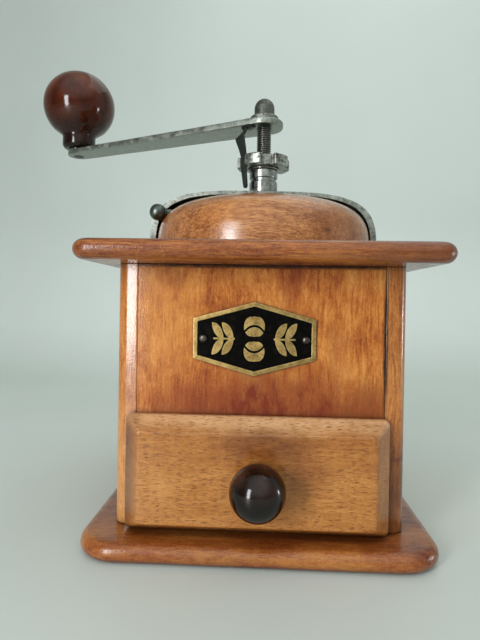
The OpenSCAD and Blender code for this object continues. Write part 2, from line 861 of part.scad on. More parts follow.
module hopper_lid() {
    color("sienna")
        difference() {
            intersection() {
                translate([0, 0, lid_z])
                    rotate_extrude($fn = 96)
                        polygon(concat(bun(lid_r, lid_h, lid_power),
                            reversed(bun(lid_in_r, lid_in_h, lid_power))));
                translate([-2 * lid_r, lid_lap - 3 * lid_r, lid_z]) cube([4 * lid_r, 3 * lid_r, lid_h]);
            }
            translate([0, 0, lid_z]) cylinder(r = boss_r + boss_clear, h = lid_h + eps);
            translate([0, 0, bracket_z - bracket_t]) bracket_plate(2 * bracket_t, bracket_fit);
            at_bracket_screws() cylinder(r = bracket_screw_r, h = bracket_t + bracket_screw_reach);
            at_lid_ball() rotate([0, -90, 0])
                cylinder(r = lid_stem_r + stem_fit, h = lid_ball_place - stem_end + stem_fit);
        }
}

// The bracket's plate: an eye round the sleeve and a strap under the lid's crown
module bracket_plate(t, margin) {
    cylinder(r = bracket_eye_r + margin, h = t);
    translate([-bracket_w / 2 - margin, -bracket_l - margin, 0])
        cube([bracket_w + 2 * margin, bracket_l + margin, t]);
}

module at_bracket_screws() {
    for (place = bracket_screw_ends) translate([0, -place, bracket_z]) children();
}

module lid_bracket() {
    color("silver")
        difference() {
            translate([0, 0, bracket_z]) bracket_plate(bracket_t, 0);
            translate([0, 0, bracket_z - eps]) cylinder(r = bracket_bore_r, h = bracket_t + 2 * eps);
            at_bracket_screws() translate([0, 0, -eps])
                cylinder(r = bracket_screw_r, h = bracket_t + 2 * eps);
        }
}

module lid_bracket_screws() {
    color("gray") at_bracket_screws()
        screw_up(bracket_screw_r, bracket_t + bracket_screw_reach, bracket_screw_head_r,
            bracket_screw_head_h);
}

// Centre of the lid's ball, with +X pointing outwards
module at_lid_ball() {
    rotate([0, 0, lid_ball_angle]) translate([lid_ball_place, 0, lid_ball_z]) children();
}

module lid_knob() {
    color("dimgray")
        at_lid_ball() {
            sphere(r = lid_ball_r);
            rotate([0, -90, 0]) cylinder(r = lid_stem_r, h = lid_ball_place - stem_end);
        }
}

module bearing_sleeve() {
    color("silver")
        difference() {
            union() {
                translate([0, 0, sleeve_bottom_z])
                    cylinder(r = sleeve_r, h = crown_z + sleeve_low_h - sleeve_bottom_z);
                translate([0, 0, crown_z]) cylinder(r = groove_d / 2, h = sleeve_top_z - crown_z);
                translate([0, 0, sleeve_top_z - sleeve_ring_h]) cylinder(r = sleeve_r, h = sleeve_ring_h);
            }
            translate([0, 0, sleeve_bottom_z - eps])
                cylinder(r = bore_r, h = sleeve_top_z - sleeve_bottom_z + 2 * eps);
        }
}

module thrust_washer() {
    color("silver")
        translate([0, 0, sleeve_top_z])
            difference() {
                cylinder(r = washer_r, h = washer_t);
                translate([0, 0, -eps]) cylinder(r = bore_r, h = washer_t + 2 * eps);
            }
}

// One lobe's share of the nut, seen from above
module lobe_sector(angle) {
    reach = 2 * nut_r;
    polygon([[0, 0], [reach * cos(angle / 2), -reach * sin(angle / 2)], [reach * cos(angle / 2),
        reach * sin(angle / 2)]]);
}

module adjusting_nut() {
    lobe_step = 360 / nut_lobes;
    color("darkgray")
        translate([0, 0, nut_z]) rotate([0, 0, catch_angle + lobe_step / 2])
            difference() {
                intersection() {
                    union() {
                        cylinder(r1 = nut_r - nut_chamfer, r2 = nut_r, h = nut_chamfer);
                        translate([0, 0, nut_chamfer]) cylinder(r = nut_r, h = nut_h - 2 * nut_chamfer);
                        translate([0, 0, nut_h - nut_chamfer])
                            cylinder(r1 = nut_r, r2 = nut_r - nut_chamfer, h = nut_chamfer);
                    }
                    union() {
                        cylinder(r = nut_root_r, h = nut_h);
                        for (i = [0 : nut_lobes - 1])
                            rotate([0, 0, i * lobe_step])
                                linear_extrude(nut_h) lobe_sector(lobe_step - notch_angle);
                    }
                }
                translate([0, 0, -eps]) cylinder(r = bore_r, h = nut_h + 2 * eps);
            }
}

// Half section of the spindle: plain below, with a groove for each turn of its thread above
module spindle_section() {
    groove = [[0, 0], [-thread_depth, 0.42], [-thread_depth, 0.58], [0, 0.94]];
    thread = [for (i = [0 : thread_turns - 1], p = groove) [spindle_r + p[0], thread_z + (i + p[1]) * pitch]];
    foot = [[0, spindle_bottom_z], [spindle_r - spindle_chamfer, spindle_bottom_z],
        [spindle_r, spindle_bottom_z + spindle_chamfer]];
    polygon(concat(foot, thread, [[spindle_r, spindle_top_z], [0, spindle_top_z]]));
}

module spindle() {
    color("gray")
        difference() {
            rotate_extrude($fn = 48) spindle_section();
            cross_bar(2 * mill_r);
        }
}

// Everything that turns with the crank is drawn with the arm along +X
module along_crank() {
    rotate([0, 0, crank_angle]) children();
}

// Outline of the arm: two rounded ends and the straight sides that touch both
module arm_outline() {
    hub = [for (s = [-1, 1]) (arm_hub_r - seam) * [sin(arm_slope), s * cos(arm_slope)]];
    end = [for (s = [-1, 1]) [crank_l, 0] + (arm_end_r - seam) * [sin(arm_slope), s * cos(arm_slope)]];
    circle(r = arm_hub_r);
    translate([crank_l, 0]) circle(r = arm_end_r);
    polygon([hub[0], end[0], end[1], hub[1]]);
}

module crank_arm() {
    color("darkgray")
        along_crank()
            difference() {
                translate([0, 0, arm_z]) linear_extrude(arm_t) arm_outline();
                translate([0, 0, arm_z - eps]) cylinder(r = spindle_r, h = arm_t + 2 * eps);
                translate([crank_l, 0, arm_z - eps]) cylinder(r = pin_r, h = arm_t + 2 * eps);
                translate([crank_l, 0, arm_z - eps])
                    cylinder(r1 = pin_r + pin_countersink + eps, r2 = pin_r, h = pin_countersink + eps);
                rotate([0, 0, catch_turn]) translate([catch_rivet_place, 0, arm_z - eps])
                    cylinder(r = catch_rivet_r, h = arm_t + 2 * eps);
            }
}

module crank_boss() {
    shoulder = collar_h * 0.45;
    color("darkgray")
        translate([0, 0, arm_top_z])
            difference() {
                union() {
                    cylinder(r = collar_r, h = collar_h - shoulder);
                    translate([0, 0, collar_h - shoulder])
                        cylinder(r1 = collar_r, r2 = cap_r + 0.4, h = shoulder);
                }
                translate([0, 0, -eps]) cylinder(r = spindle_r, h = collar_h + 2 * eps);
            }
}

module cap_nut() {
    color("dimgray")
        translate([0, 0, cap_z])
            difference() {
                union() {
                    cylinder(r = cap_r, h = cap_low_h);
                    translate([0, 0, cap_low_h])
                        intersection() {
                            sphere(r = cap_r);
                            cylinder(r = cap_r, h = cap_dome_h);
                        }
                }
                translate([0, 0, -eps]) cylinder(r = spindle_r, h = cap_low_h + eps + cap_roof);
            }
}

// Upright plane through the catch, with +X pointing away from the spindle
module at_catch() {
    rotate([0, 0, catch_angle]) children();
}

module catch_foot() {
    color([0.2, 0.21, 0.2])
        at_catch()
            difference() {
                union() {
                    translate([catch_foot_in_r, -catch_foot_w / 2, arm_z - catch_t])
                        cube([catch_foot_out_r - catch_foot_in_r, catch_foot_w, catch_t]);
                    translate([catch_foot_out_r - catch_t, -catch_neck_w / 2, catch_knee_z])
                        cube([catch_t, catch_neck_w, arm_z - catch_knee_z]);
                }
                translate([catch_rivet_place, 0, arm_z - catch_t - eps])
                    cylinder(r = catch_rivet_r, h = catch_t + 2 * eps);
            }
}

module catch_rivet() {
    color("dimgray")
        at_catch() translate([catch_rivet_place, 0, 0]) {
            translate([0, 0, arm_z - catch_t]) cylinder(r = catch_rivet_r, h = catch_t + arm_t);
            translate([0, 0, arm_z - catch_t - catch_rivet_head_h])
                cylinder(r1 = catch_rivet_r, r2 = catch_rivet_head_r, h = catch_rivet_head_h);
            translate([0, 0, arm_top_z])
                cylinder(r1 = catch_rivet_head_r, r2 = catch_rivet_r, h = catch_rivet_head_h);
        }
}

// Front view of the catch: a narrow neck, wide shoulders and a tapering blade with a round tip
module catch_face() {
    tip_r = catch_w * 0.36;
    widths = [
        [catch_neck_w, catch_pivot_z + catch_knuckle_r],
        [catch_neck_w, catch_pivot_z - catch_knuckle_r],
        [catch_shoulder_w, catch_pivot_z - catch_crest_drop],
        [catch_w, catch_pivot_z - catch_slope_drop],
        [catch_w, nut_z]
    ];
    tip = [for (a = [0 : 20 : 180]) [tip_r * cos(a), catch_tip_z + tip_r - tip_r * sin(a)]];
    polygon(concat([for (p = widths) [p[0] / 2, p[1]]], tip, [for (p = reversed(widths)) [-p[0] / 2, p[1]]]));
}

module nut_catch() {
    reach = 2 * nut_r;
    color([0.2, 0.21, 0.2])
        at_catch()
            intersection() {
                union() {
                    translate([0, reach, 0]) rotate([90, 0, 0]) linear_extrude(2 * reach)
                        polygon(concat(strip_side(catch_line, catch_t),
                            reversed(strip_side(catch_line, -catch_t))));
                    translate([catch_pivot_r, reach, catch_pivot_z]) rotate([90, 0, 0])
                        cylinder(r = catch_knuckle_r, h = 2 * reach);
                }
                rotate([90, 0, 90]) linear_extrude(reach) catch_face();
            }
}

module knob_pin() {
    color("gray")
        along_crank() translate([crank_l, 0, 0]) {
            translate([0, 0, pin_foot_z]) cylinder(r = pin_r, h = pin_head_z - pin_foot_z + pin_head_h);
            translate([0, 0, pin_head_z]) cylinder(r1 = pin_head_r, r2 = pin_head_top_r, h = pin_head_h);
        }
}

module knob_washer() {
    color("silver")
        along_crank() translate([crank_l, 0, arm_top_z])
            difference() {
                cylinder(r = arm_end_r - 0.6, h = grip_washer_t);
                translate([0, 0, -eps]) cylinder(r = pin_r, h = grip_washer_t + 2 * eps);
            }
}

// Half section of the ball grip: an oval on a round-footed neck, drawn from its foot
module grip_section() {
    oval = bun(grip_r, grip_half_h, 2);
    translate([0, grip_up])
        polygon(concat([for (p = reversed(oval)) [p[0], -p[1]]], oval));
    square([grip_neck_r - grip_foot_round, grip_up]);
    translate([0, grip_foot_round]) square([grip_neck_r, grip_up - grip_foot_round]);
    translate([grip_neck_r - grip_foot_round, grip_foot_round])
        intersection() {
            circle(r = grip_foot_round);
            translate([0, -grip_foot_round]) square(grip_foot_round);
        }
}

module crank_knob() {
    color([0.25, 0.1, 0.07])
        along_crank() translate([crank_l, 0, grip_foot_z])
            difference() {
                rotate_extrude($fn = 96) grip_section();
                translate([0, 0, -eps]) cylinder(r = grip_bore_r, h = grip_up + grip_r);
                translate([0, 0, pin_seat_z - grip_foot_z]) cylinder(r = grip_sink_r, h = pin_sink + eps);
            }
}

module at_mill_screws() {
    for (a = [45 : 90 : 315])
        rotate([0, 0, a]) translate([mill_screw_place, 0, top_under_z - flange_t]) children();
}

// Places of the bridge's screws, at the foot of the mill
module at_lugs() {
    for (s = [-1, 1]) translate([s * lug_place, 0, mill_foot_z]) children();
}

module mill_body() {
    color("dimgray")
        difference() {
            union() {
                translate([0, 0, mill_foot_z]) cylinder(r = mill_out_r, h = mill_h + flange_t);
                translate([0, 0, top_under_z - flange_t]) cylinder(r = flange_r, h = flange_t);
                at_lugs() cylinder(r = lug_r, h = lug_h);
            }
            translate([0, 0, mill_foot_z - eps]) cylinder(r = mill_r, h = mill_h + flange_t + 2 * eps);
            at_mill_screws() translate([0, 0, -eps]) cylinder(r = mill_screw_r, h = flange_t + 2 * eps);
            at_lugs() translate([0, 0, -eps]) cylinder(r = bridge_screw_r, h = bridge_screw_reach + eps);
        }
}

module mill_screws() {
    color("gray") at_mill_screws()
        screw_up(mill_screw_r, flange_t + mill_screw_reach, mill_screw_head_r, mill_screw_head_h);
}

// Square cutters laid along a cone from one point of its section to another, which leave teeth between them
module tooth_cutters(count, size, from, to, skew) {
    middle = (from + to) / 2;
    way = to - from;
    run = norm(way) * 1.25;
    for (i = [0 : count - 1])
        rotate([0, 0, i * 360 / count])
            translate([middle[0], 0, middle[1]]) rotate([0, atan2(way[0], way[1]), 0]) rotate([skew, 0, 0])
                cylinder(r = size, h = run, center = true, $fn = 4);
}

module burr_ring() {
    color("slategray")
        difference() {
            rotate_extrude()
                polygon([[ring_out_r, ring_foot_z], [ring_out_r, ring_top_z], [ring_top_r, ring_top_z],
                    [ring_waist_r, waist_z], [ring_foot_r, ring_foot_z]]);
            tooth_cutters(ring_teeth, fine_cut, [ring_foot_r, ring_foot_z], [ring_waist_r, waist_z],
                tooth_skew);
            tooth_cutters(ring_teeth / 2, coarse_cut, [ring_waist_r, waist_z], [ring_top_r, ring_top_z],
                -tooth_skew);
        }
}

module burr_cone() {
    color("slategray")
        difference() {
            rotate_extrude()
                polygon([[spindle_r, ring_foot_z], [cone_foot_r, ring_foot_z], [cone_waist_r, waist_z],
                    [cone_tip_r, cone_top_z], [spindle_r, cone_top_z]]);
            tooth_cutters(cone_teeth, fine_cut, [cone_foot_r, ring_foot_z], [cone_waist_r, waist_z],
                -tooth_skew);
            tooth_cutters(cone_teeth / 2, coarse_cut, [cone_waist_r, waist_z], [cone_tip_r, cone_top_z],
                tooth_skew);
            cross_bar(2 * mill_r);
        }
}

// A round bar of the pin's radius across the cone and the spindle
module cross_bar(length) {
    translate([0, 0, cone_pin_z]) rotate([0, 90, cone_pin_turn])
        cylinder(r = cone_pin_r, h = length, center = true);
}

module cone_pin() {
    color("silver") cross_bar(cone_pin_l);
}

module mill_bridge() {
    color("dimgray")
        difference() {
            union() {
                translate([-lug_place, -bridge_w / 2, mill_foot_z - bridge_t])
                    cube([2 * lug_place, bridge_w, bridge_t]);
                at_lugs() translate([0, 0, -bridge_t]) cylinder(r = bridge_w / 2, h = bridge_t);
                translate([0, 0, mill_foot_z - bridge_hub_h]) cylinder(r = bridge_hub_r, h = bridge_hub_h);
            }
            translate([0, 0, mill_foot_z - bridge_hub_h - eps])
                cylinder(r = bush_r, h = bridge_hub_h + 2 * eps);
            at_lugs() translate([0, 0, -bridge_t - eps]) cylinder(r = bridge_screw_r, h = bridge_t + 2 * eps);
        }
}

module lower_bush() {
    color("goldenrod")
        translate([0, 0, bush_top_z - bush_l])
            difference() {
                cylinder(r = bush_r, h = bush_l);
                translate([0, 0, -eps]) cylinder(r = bore_r, h = bush_l + 2 * eps);
            }
}

module bridge_screws() {
    color("silver") at_lugs() translate([0, 0, -bridge_t])
        screw_up(bridge_screw_r, bridge_t + bridge_screw_reach, bridge_screw_head_r, bridge_screw_head_h);
}

base_board();
left_wall();
right_wall();
front_panel();
back_panel();
top_board();
case_screws();
nameplate();
nameplate_field();
nameplate_relief();
nameplate_nails();
drawer_front();
drawer_left_side();
drawer_right_side();
drawer_back();
drawer_bottom();
drawer_knob();
drawer_knob_screw();
hopper_shell();
hopper_screws();
hopper_lid();
lid_bracket();
lid_bracket_screws();
lid_knob();
bearing_sleeve();
thrust_washer();
adjusting_nut();
spindle();
crank_arm();
crank_boss();
cap_nut();
catch_foot();
catch_rivet();
nut_catch();
knob_pin();
knob_washer();
crank_knob();
mill_body();
mill_screws();
burr_ring();
burr_cone();
cone_pin();
mill_bridge();
lower_bush();
bridge_screws();
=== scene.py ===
"""Hand crank coffee grinder: the finished model round its CAD frame.

Sizes are in millimetres, in the frame's own axes: +Z is up, the front faces -Y, and the origin lies
on the spindle's axis under the base board. They become metres where a mesh is made.
"""

from collections import namedtuple
from math import asin, atan2, ceil, cos, degrees, hypot, pi, radians, sin, sqrt, tan

import bmesh
import bpy
from mathutils import Matrix, Vector, noise


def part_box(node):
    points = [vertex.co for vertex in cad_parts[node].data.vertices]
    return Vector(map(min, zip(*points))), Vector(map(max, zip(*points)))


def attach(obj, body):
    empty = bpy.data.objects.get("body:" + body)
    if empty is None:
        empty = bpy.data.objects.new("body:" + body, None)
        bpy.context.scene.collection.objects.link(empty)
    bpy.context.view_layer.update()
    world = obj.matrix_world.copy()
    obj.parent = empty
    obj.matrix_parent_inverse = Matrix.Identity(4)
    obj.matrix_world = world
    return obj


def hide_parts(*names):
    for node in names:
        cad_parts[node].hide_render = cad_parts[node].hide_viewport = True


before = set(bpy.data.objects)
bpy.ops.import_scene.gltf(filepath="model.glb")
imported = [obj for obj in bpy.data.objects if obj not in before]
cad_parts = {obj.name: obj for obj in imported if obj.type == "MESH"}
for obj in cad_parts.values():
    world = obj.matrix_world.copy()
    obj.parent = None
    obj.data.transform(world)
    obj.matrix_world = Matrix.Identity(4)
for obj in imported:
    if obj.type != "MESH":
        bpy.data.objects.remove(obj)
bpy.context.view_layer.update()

MM = 0.001
QUARTER = pi / 2
# Points of a mesh that are closer together than this become one
WELD = 0.0005
# Edges that turn by less than this look smooth
SMOOTH_ANGLE = radians(38)
# Length of the waves that handwork leaves along an edge
HAND_WAVE = 26


class Box(namedtuple("Box", "x0 y0 z0 x1 y1 z1")):
    """Lowest and highest corner of a CAD node at rest, in millimetres."""

    @property
    def half(self):
        """Half its width, which is the radius of a round node."""
        return (self.x1 - self.x0) / 2

    @property
    def rise(self):
        return self.z1 - self.z0

    @property
    def back(self):
        """Place of a drawing that stands at the node's back and faces the front."""
        return at((self.x0 + self.x1) / 2, self.y1, (self.z0 + self.z1) / 2) @ FACING


def box(node):
    low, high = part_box(node)
    return Box(*(c / MM for c in (*low, *high)))


# ---- shapes: (points, faces)


def spread(first, last, steps):
    """Evenly spaced values from first to last."""
    return [first + (last - first) * k / steps for k in range(steps + 1)]


def arc(radius, turns, z):
    """Points round the Z axis, one for each angle."""
    return [(radius * cos(a), radius * sin(a), z) for a in turns]


def outline(corners, margin=0.0, steps=6, run=None):
    """Points round an anticlockwise outline of corners (x, y, radius), drawn in by a margin that doesn't
    change their number. run is the longest straight step between two corners."""
    arcs = []
    for i, (x, y, radius) in enumerate(corners):
        before, after = corners[i - 1], corners[(i + 1) % len(corners)]
        come = (Vector((x, y)) - Vector(before[:2])).normalized()
        go = (Vector(after[:2]) - Vector((x, y))).normalized()
        left_come, left_go = Vector((-come.y, come.x)), Vector((-go.y, go.x))
        here = Vector((x, y)) + (left_come + left_go) / (1 + left_come.dot(left_go)) * margin
        bend = come.x * go.y - come.y * go.x
        radius = radius - margin if bend > 0 else radius + margin if radius > 0 else 0
        if radius <= 0 or abs(bend) < 1e-6:
            arcs.append([here] * (steps + 1))
            continue
        half = (-come).angle(go) / 2
        centre = here + (go - come).normalized() * radius / sin(half)
        start = here - come * radius / tan(half) - centre
        end = here + go * radius / tan(half) - centre
        first = atan2(start.y, start.x)
        sweep = (atan2(end.y, end.x) - first + pi) % (2 * pi) - pi
        turns = spread(first, first + sweep, steps)
        arcs.append([centre + radius * Vector((cos(a), sin(a))) for a in turns])
    points = []
    for i, corner in enumerate(arcs):
        points += corner
        if run:
            far = Vector(corners[(i + 1) % len(corners)][:2]) - Vector(corners[i][:2])
            count = ceil(far.length / run)
            points += [corner[-1].lerp(arcs[(i + 1) % len(arcs)][0], k / count) for k in range(1, count)]
    return points


def rectangle(x0, y0, x1, y1, *radii):
    """Corners of a rectangle. One radius is for all, and four are for x0y0, x1y0, x1y1 and x0y1."""
    radii = radii * 4 if len(radii) == 1 else radii
    return [(x, y, r) for (x, y), r in zip(((x0, y0), (x1, y0), (x1, y1), (x0, y1)), radii)]


def edged(z0, z1, low, high):
    """Levels (margin, height) of a plate whose lower and upper edges are rounded."""
    turns = spread(0, QUARTER, 3)
    return [(low * (1 - sin(a)), z0 + low * (1 - cos(a))) for a in turns] + [
        (high * (1 - cos(a)), z1 - high * (1 - sin(a))) for a in turns
    ]


def stack(rings, closed=False):
    """A solid from rings of as many points each. It is capped at both ends, or closed like a tube."""
    count = len(rings[0])
    points = [tuple(p) for ring in rings for p in ring]
    faces = []
    for j in range(len(rings) if closed else len(rings) - 1):
        a, b = j * count, (j + 1) % len(rings) * count
        faces += [(a + i, a + (i + 1) % count, b + (i + 1) % count, b + i) for i in range(count)]
    if not closed:
        faces += [tuple(range(count)), tuple(range(len(points) - count, len(points)))]
    return points, faces


def prism(corners, levels, steps=6, run=None):
    """A solid whose outline is drawn in by each level's margin at its height."""
    return stack([[(*p, z) for p in outline(corners, margin, steps, run)] for margin, z in levels])


def turned(profile, closed=False, steps=96):
    """A solid of revolution about Z from (radius, height) points."""
    turns = spread(0, 2 * pi, steps)[:-1]
    return stack([arc(r, turns, z) for r, z in profile], closed)


def bored(corners, levels, bore, chamfer):
    """A prism with a round hole through its middle, chamfered at both mouths."""
    rings = [[(*p, z) for p in outline(corners, margin, 4)] for margin, z in levels]
    low, high = levels[0][1], levels[-1][1]
    turns = [atan2(p[1], p[0]) for p in rings[0]]
    mouth = bore + chamfer
    for r, z in ((mouth, high), (bore, high - chamfer), (bore, low + chamfer), (mouth, low)):
        rings.append(arc(r, turns, z))
    return stack(rings, closed=True)


def moved(shape, place):
    return [tuple(place @ Vector(p)) for p in shape[0]], shape[1]


def joined(*shapes):
    """Several shapes as one."""
    points, faces = [], []
    for shape in shapes:
        faces += [tuple(i + len(points) for i in face) for face in shape[1]]
        points += shape[0]
    return points, faces


def copies(shape, places):
    return joined(*(moved(shape, place) for place in places))


def ball_arc(radius, height, low, high, steps):
    """(radius, height) points of a ball or oval's side between two latitudes in degrees."""
    turns = [radians(a) for a in spread(low, high, steps)]
    return [(radius * cos(a), height * sin(a)) for a in turns]


def at(x, y, z):
    return Matrix.Translation((x, y, z))


def spun(turn, axis="Z"):
    return Matrix.Rotation(radians(turn), 4, axis)


# A drawing in XY with +Z towards the viewer, stood up so that it faces the front
FACING = spun(90, "X")


# ---- pieces


def linked(name, data):
    """A new object in the scene."""
    obj = bpy.data.objects.new(name, data)
    bpy.context.scene.collection.objects.link(obj)
    return obj


def solid(shape):
    """A welded bmesh of a shape."""
    made = bmesh.new()
    verts = [made.verts.new(Vector(p) * MM) for p in shape[0]]
    for face in shape[1]:
        made.faces.new([verts[i] for i in face])
    bmesh.ops.remove_doubles(made, verts=made.verts, dist=WELD * MM)
    bmesh.ops.recalc_face_normals(made, faces=made.faces)
    return made


def new_object(name, made):
    """An object from a bmesh, with its faces outward."""
    bmesh.ops.recalc_face_normals(made, faces=made.faces)
    mesh = bpy.data.meshes.new(name)
    made.to_mesh(mesh)
    made.free()
    return linked(name, mesh)


def settle(obj, material, body, node):
    """Gives a piece its material and smooth faces, and lets it ride on its body."""
    obj.data.materials.append(material)
    obj.data.shade_smooth()
    obj.data.set_sharp_from_angle(angle=SMOOTH_ANGLE)
    even = obj.modifiers.new("even_normals", "WEIGHTED_NORMAL")
    even.keep_sharp = True
    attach(obj, body)
    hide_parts(node)
    return obj


def soften(made, width, limit):
    """Rounds the edges of a bmesh that turn by more than a limit, in degrees."""
    sharp = [e for e in made.edges if e.is_manifold and e.calc_face_angle() > radians(limit)]
    bmesh.ops.bevel(
        made, geom=sharp, offset=width * MM, segments=2, profile=0.5, affect="EDGES", clamp_overlap=True
    )


def piece(name, shape, material, body, node, edge=0.0, limit=50, uneven=0.0):
    """A piece that stands for a CAD node. Its edges sharper than a limit are rounded by edge, and its
    sides are uneven by so many millimetres."""
    made = solid(shape)
    if edge:
        soften(made, edge, limit)
    if uneven:
        made.normal_update()
        for vert in made.verts:
            if abs(vert.normal.z) < 0.98:
                wave = noise.noise(vert.co / (HAND_WAVE * MM))
                wave += 0.4 * noise.noise(vert.co / (HAND_WAVE / 3 * MM))
                vert.co += vert.normal * wave * uneven * MM
    return settle(new_object(name, made), material, body, node)


def dressed(node, material, body, slot, edge, grown=(1, 1, 1), turn=0, flare=None):
    """A copy of a CAD node with its flat faces joined and its edges rounded. It may be grown round its
    middle, along axes turned about Z. flare is (height, run, share): above a height its second axis
    grows by a further share, over a run."""
    made = bmesh.new()
    made.from_mesh(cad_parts[node].data)
    b = box(node)
    middle = Matrix.Translation(Vector((b.x0 + b.x1, b.y0 + b.y1, b.z0 + b.z1)) / 2 * MM) @ spun(turn)
    grow = middle @ Matrix.Diagonal((*grown, 1)) @ middle.inverted()
    bmesh.ops.transform(made, matrix=grow, verts=made.verts)
    if flare:
        height, run, share = flare
        for vert in made.verts:
            across = middle.inverted() @ vert.co
            across.y *= 1 + share * min(1, max(0, (vert.co.z / MM - height) / run))
            vert.co = middle @ across
    bmesh.ops.remove_doubles(made, verts=made.verts, dist=WELD * MM)
    bmesh.ops.dissolve_limit(made, angle_limit=radians(1), verts=made.verts, edges=made.edges)
    soften(made, edge, 30)
    return settle(new_object(node + "_finished", made), material, body, node)


def cut(obj, shape):
    """Takes a shape out of a piece."""
    tool = new_object(obj.name + "_cutter", solid(shape))
    part = obj.modifiers.new("cut", "BOOLEAN")
    part.object = tool
    part.operation = "DIFFERENCE"
    part.solver = "EXACT"
    bpy.context.view_layer.update()
    done = obj.evaluated_get(bpy.context.evaluated_depsgraph_get())
    obj.data = bpy.data.meshes.new_from_object(done)
    obj.modifiers.remove(part)
    bpy.data.objects.remove(tool)


# ---- materials

# Nearly all of a noise's values lie between these
SPAN = (0.3, 0.7)


def colour(value):
    """A shader's colour from sRGB values, 0 to 255. A socket stays as it is."""
    if isinstance(value, bpy.types.NodeSocket):
        return value
    parts = [c / 255 for c in value]
    return (*(c / 12.92 if c <= 0.04045 else ((c + 0.055) / 1.055) ** 2.4 for c in parts), 1)


class Graph:
    """Short calls that build the nodes of a material, or of a world. Places and sizes are in
    millimetres, and colours are sockets or sRGB values."""

    def __init__(self, owner, shader="Principled BSDF", seen="Object", scale=1 / MM, shift=(0, 0, 0)):
        owner.use_nodes = True
        self.owner = owner
        self.tree = owner.node_tree
        self.shader = self.tree.nodes[shader]
        self.place = self.vector("SCALE", self.node("TexCoord", output=seen), Scale=scale)
        self.shift = shift

    def feed(self, node, inputs):
        """Sets a node's inputs: a link where the value is a socket, and else a constant."""
        for key, value in inputs.items():
            if isinstance(value, bpy.types.NodeSocket):
                self.tree.links.new(value, node.inputs[key])
            else:
                node.inputs[key].default_value = value

    def node(self, kind, inputs=None, output=0, **settings):
        made = self.tree.nodes.new("ShaderNode" + kind)
        for key, value in settings.items():
            setattr(made, key, value)
        self.feed(made, inputs or {})
        return made.outputs[output]

    def math(self, operation, *values, clamp=False):
        return self.node("Math", dict(enumerate(values)), operation=operation, use_clamp=clamp)

    def times(self, first, second):
        return self.math("MULTIPLY", first, second)

    def plus(self, total, part, share):
        """A total, and a share of a part."""
        return self.math("MULTIPLY_ADD", part, share, total)

    def vector(self, operation, *values, output=0, **inputs):
        return self.node("VectorMath", {**dict(enumerate(values)), **inputs}, output, operation=operation)

    def axis(self, name, place=None):
        return self.node("SeparateXYZ", {0: place or self.place}, name)

    def remap(self, value, low, high, to_low=0.0, to_high=1.0, **settings):
        inputs = {"Value": value, "From Min": low, "From Max": high, "To Min": to_low, "To Max": to_high}
        return self.node("MapRange", inputs, **settings)

    def centred(self, value):
        """A noise's values, spread about zero."""
        return self.remap(value, *SPAN, -0.5, 0.5)

    def stretched(self, size, place=None, shift=None):
        """The place in units of a size, which is one length or three."""
        size = size if isinstance(size, tuple) else (size,) * 3
        inputs = {"Vector": place or self.place, "Location": shift or self.shift}
        return self.node("Mapping", {**inputs, "Scale": [1 / s for s in size]})

    def noise(self, size, place=None, detail=2, rough=0.5, output="Fac"):
        inputs = {"Vector": self.stretched(size, place), "Scale": 1, "Detail": detail, "Roughness": rough}
        return self.node("TexNoise", inputs, output)

    def cells(self, size, place, output="Distance"):
        return self.node("TexVoronoi", {"Vector": self.stretched(size, place), "Scale": 1}, output)

    def wander(self, size, amount):
        """The place, pushed aside by a smooth noise."""
        push = self.vector("SUBTRACT", self.noise(size, output="Color"), (0.5,) * 3)
        return self.vector("ADD", self.place, self.vector("SCALE", push, Scale=amount))

    def spot(self, place, centre, size):
        """1 at a centre, falling to 0 at the edge of an ellipsoid of a size."""
        off = self.stretched(size, place, [-c / s for c, s in zip(centre, size)])
        far = self.vector("LENGTH", off, output="Value")
        return self.remap(far, 1, 0.2, interpolation_type="SMOOTHSTEP")

    def ramp(self, value, *stops):
        shade = self.node("ValToRGB", {0: value})
        marks = shade.node.color_ramp.elements
        while len(marks) < len(stops):
            marks.new(0.5)
        for mark, (where, tone) in zip(marks, stops):
            mark.position = where
            mark.color = colour(tone)
        return shade

    def mix(self, first, second, share):
        """The second colour, laid over the first by a share."""
        return self.node("Mix", {0: share, 6: colour(first), 7: colour(second)}, 2, data_type="RGBA")

    def hollow(self, reach):
        """1 in corners and gaps, 0 on open faces: the mask where shade is painted."""
        open_share = self.node("AmbientOcclusion", {"Distance": reach * MM}, "AO", samples=6)
        return self.remap(open_share, 0.85, 0.45)

    def arris(self, radius):
        """1 along sharp edges, 0 on open faces."""
        soft = self.node("Bevel", {"Radius": radius * MM}, samples=4)
        true = self.node("NewGeometry", output="Normal")
        return self.remap(self.vector("DOT_PRODUCT", soft, true, output="Value"), 0.985, 0.88)

    def bump(self, height, depth, strength):
        rough = self.node("Bump", {"Height": height, "Distance": depth * MM, "Strength": strength})
        for socket in ("Normal", "Coat Normal"):
            self.tree.links.new(rough, self.shader.inputs[socket])

    def finish(self, **inputs):
        """Sets the shader's inputs, and gives back what the graph was made for."""
        self.feed(self.shader, {key.replace("_", " "): value for key, value in inputs.items()})
        return self.owner


def paint(name, shift=(0, 0, 0)):
    """The graph of a new material."""
    return Graph(bpy.data.materials.new(name), shift=shift)


def along(axis, length, width):
    """A feature's size in three axes: long along the grain and narrow across it."""
    return tuple(length if a == axis else width for a in "XYZ")


# A soft patch of another tone on wood; the lists hold real stains, painted shade and painted highlights.
# stray is how far its outline wanders
StainAndPaintedLight = namedtuple("StainAndPaintedLight", "centre size tint share stray", defaults=(12,))


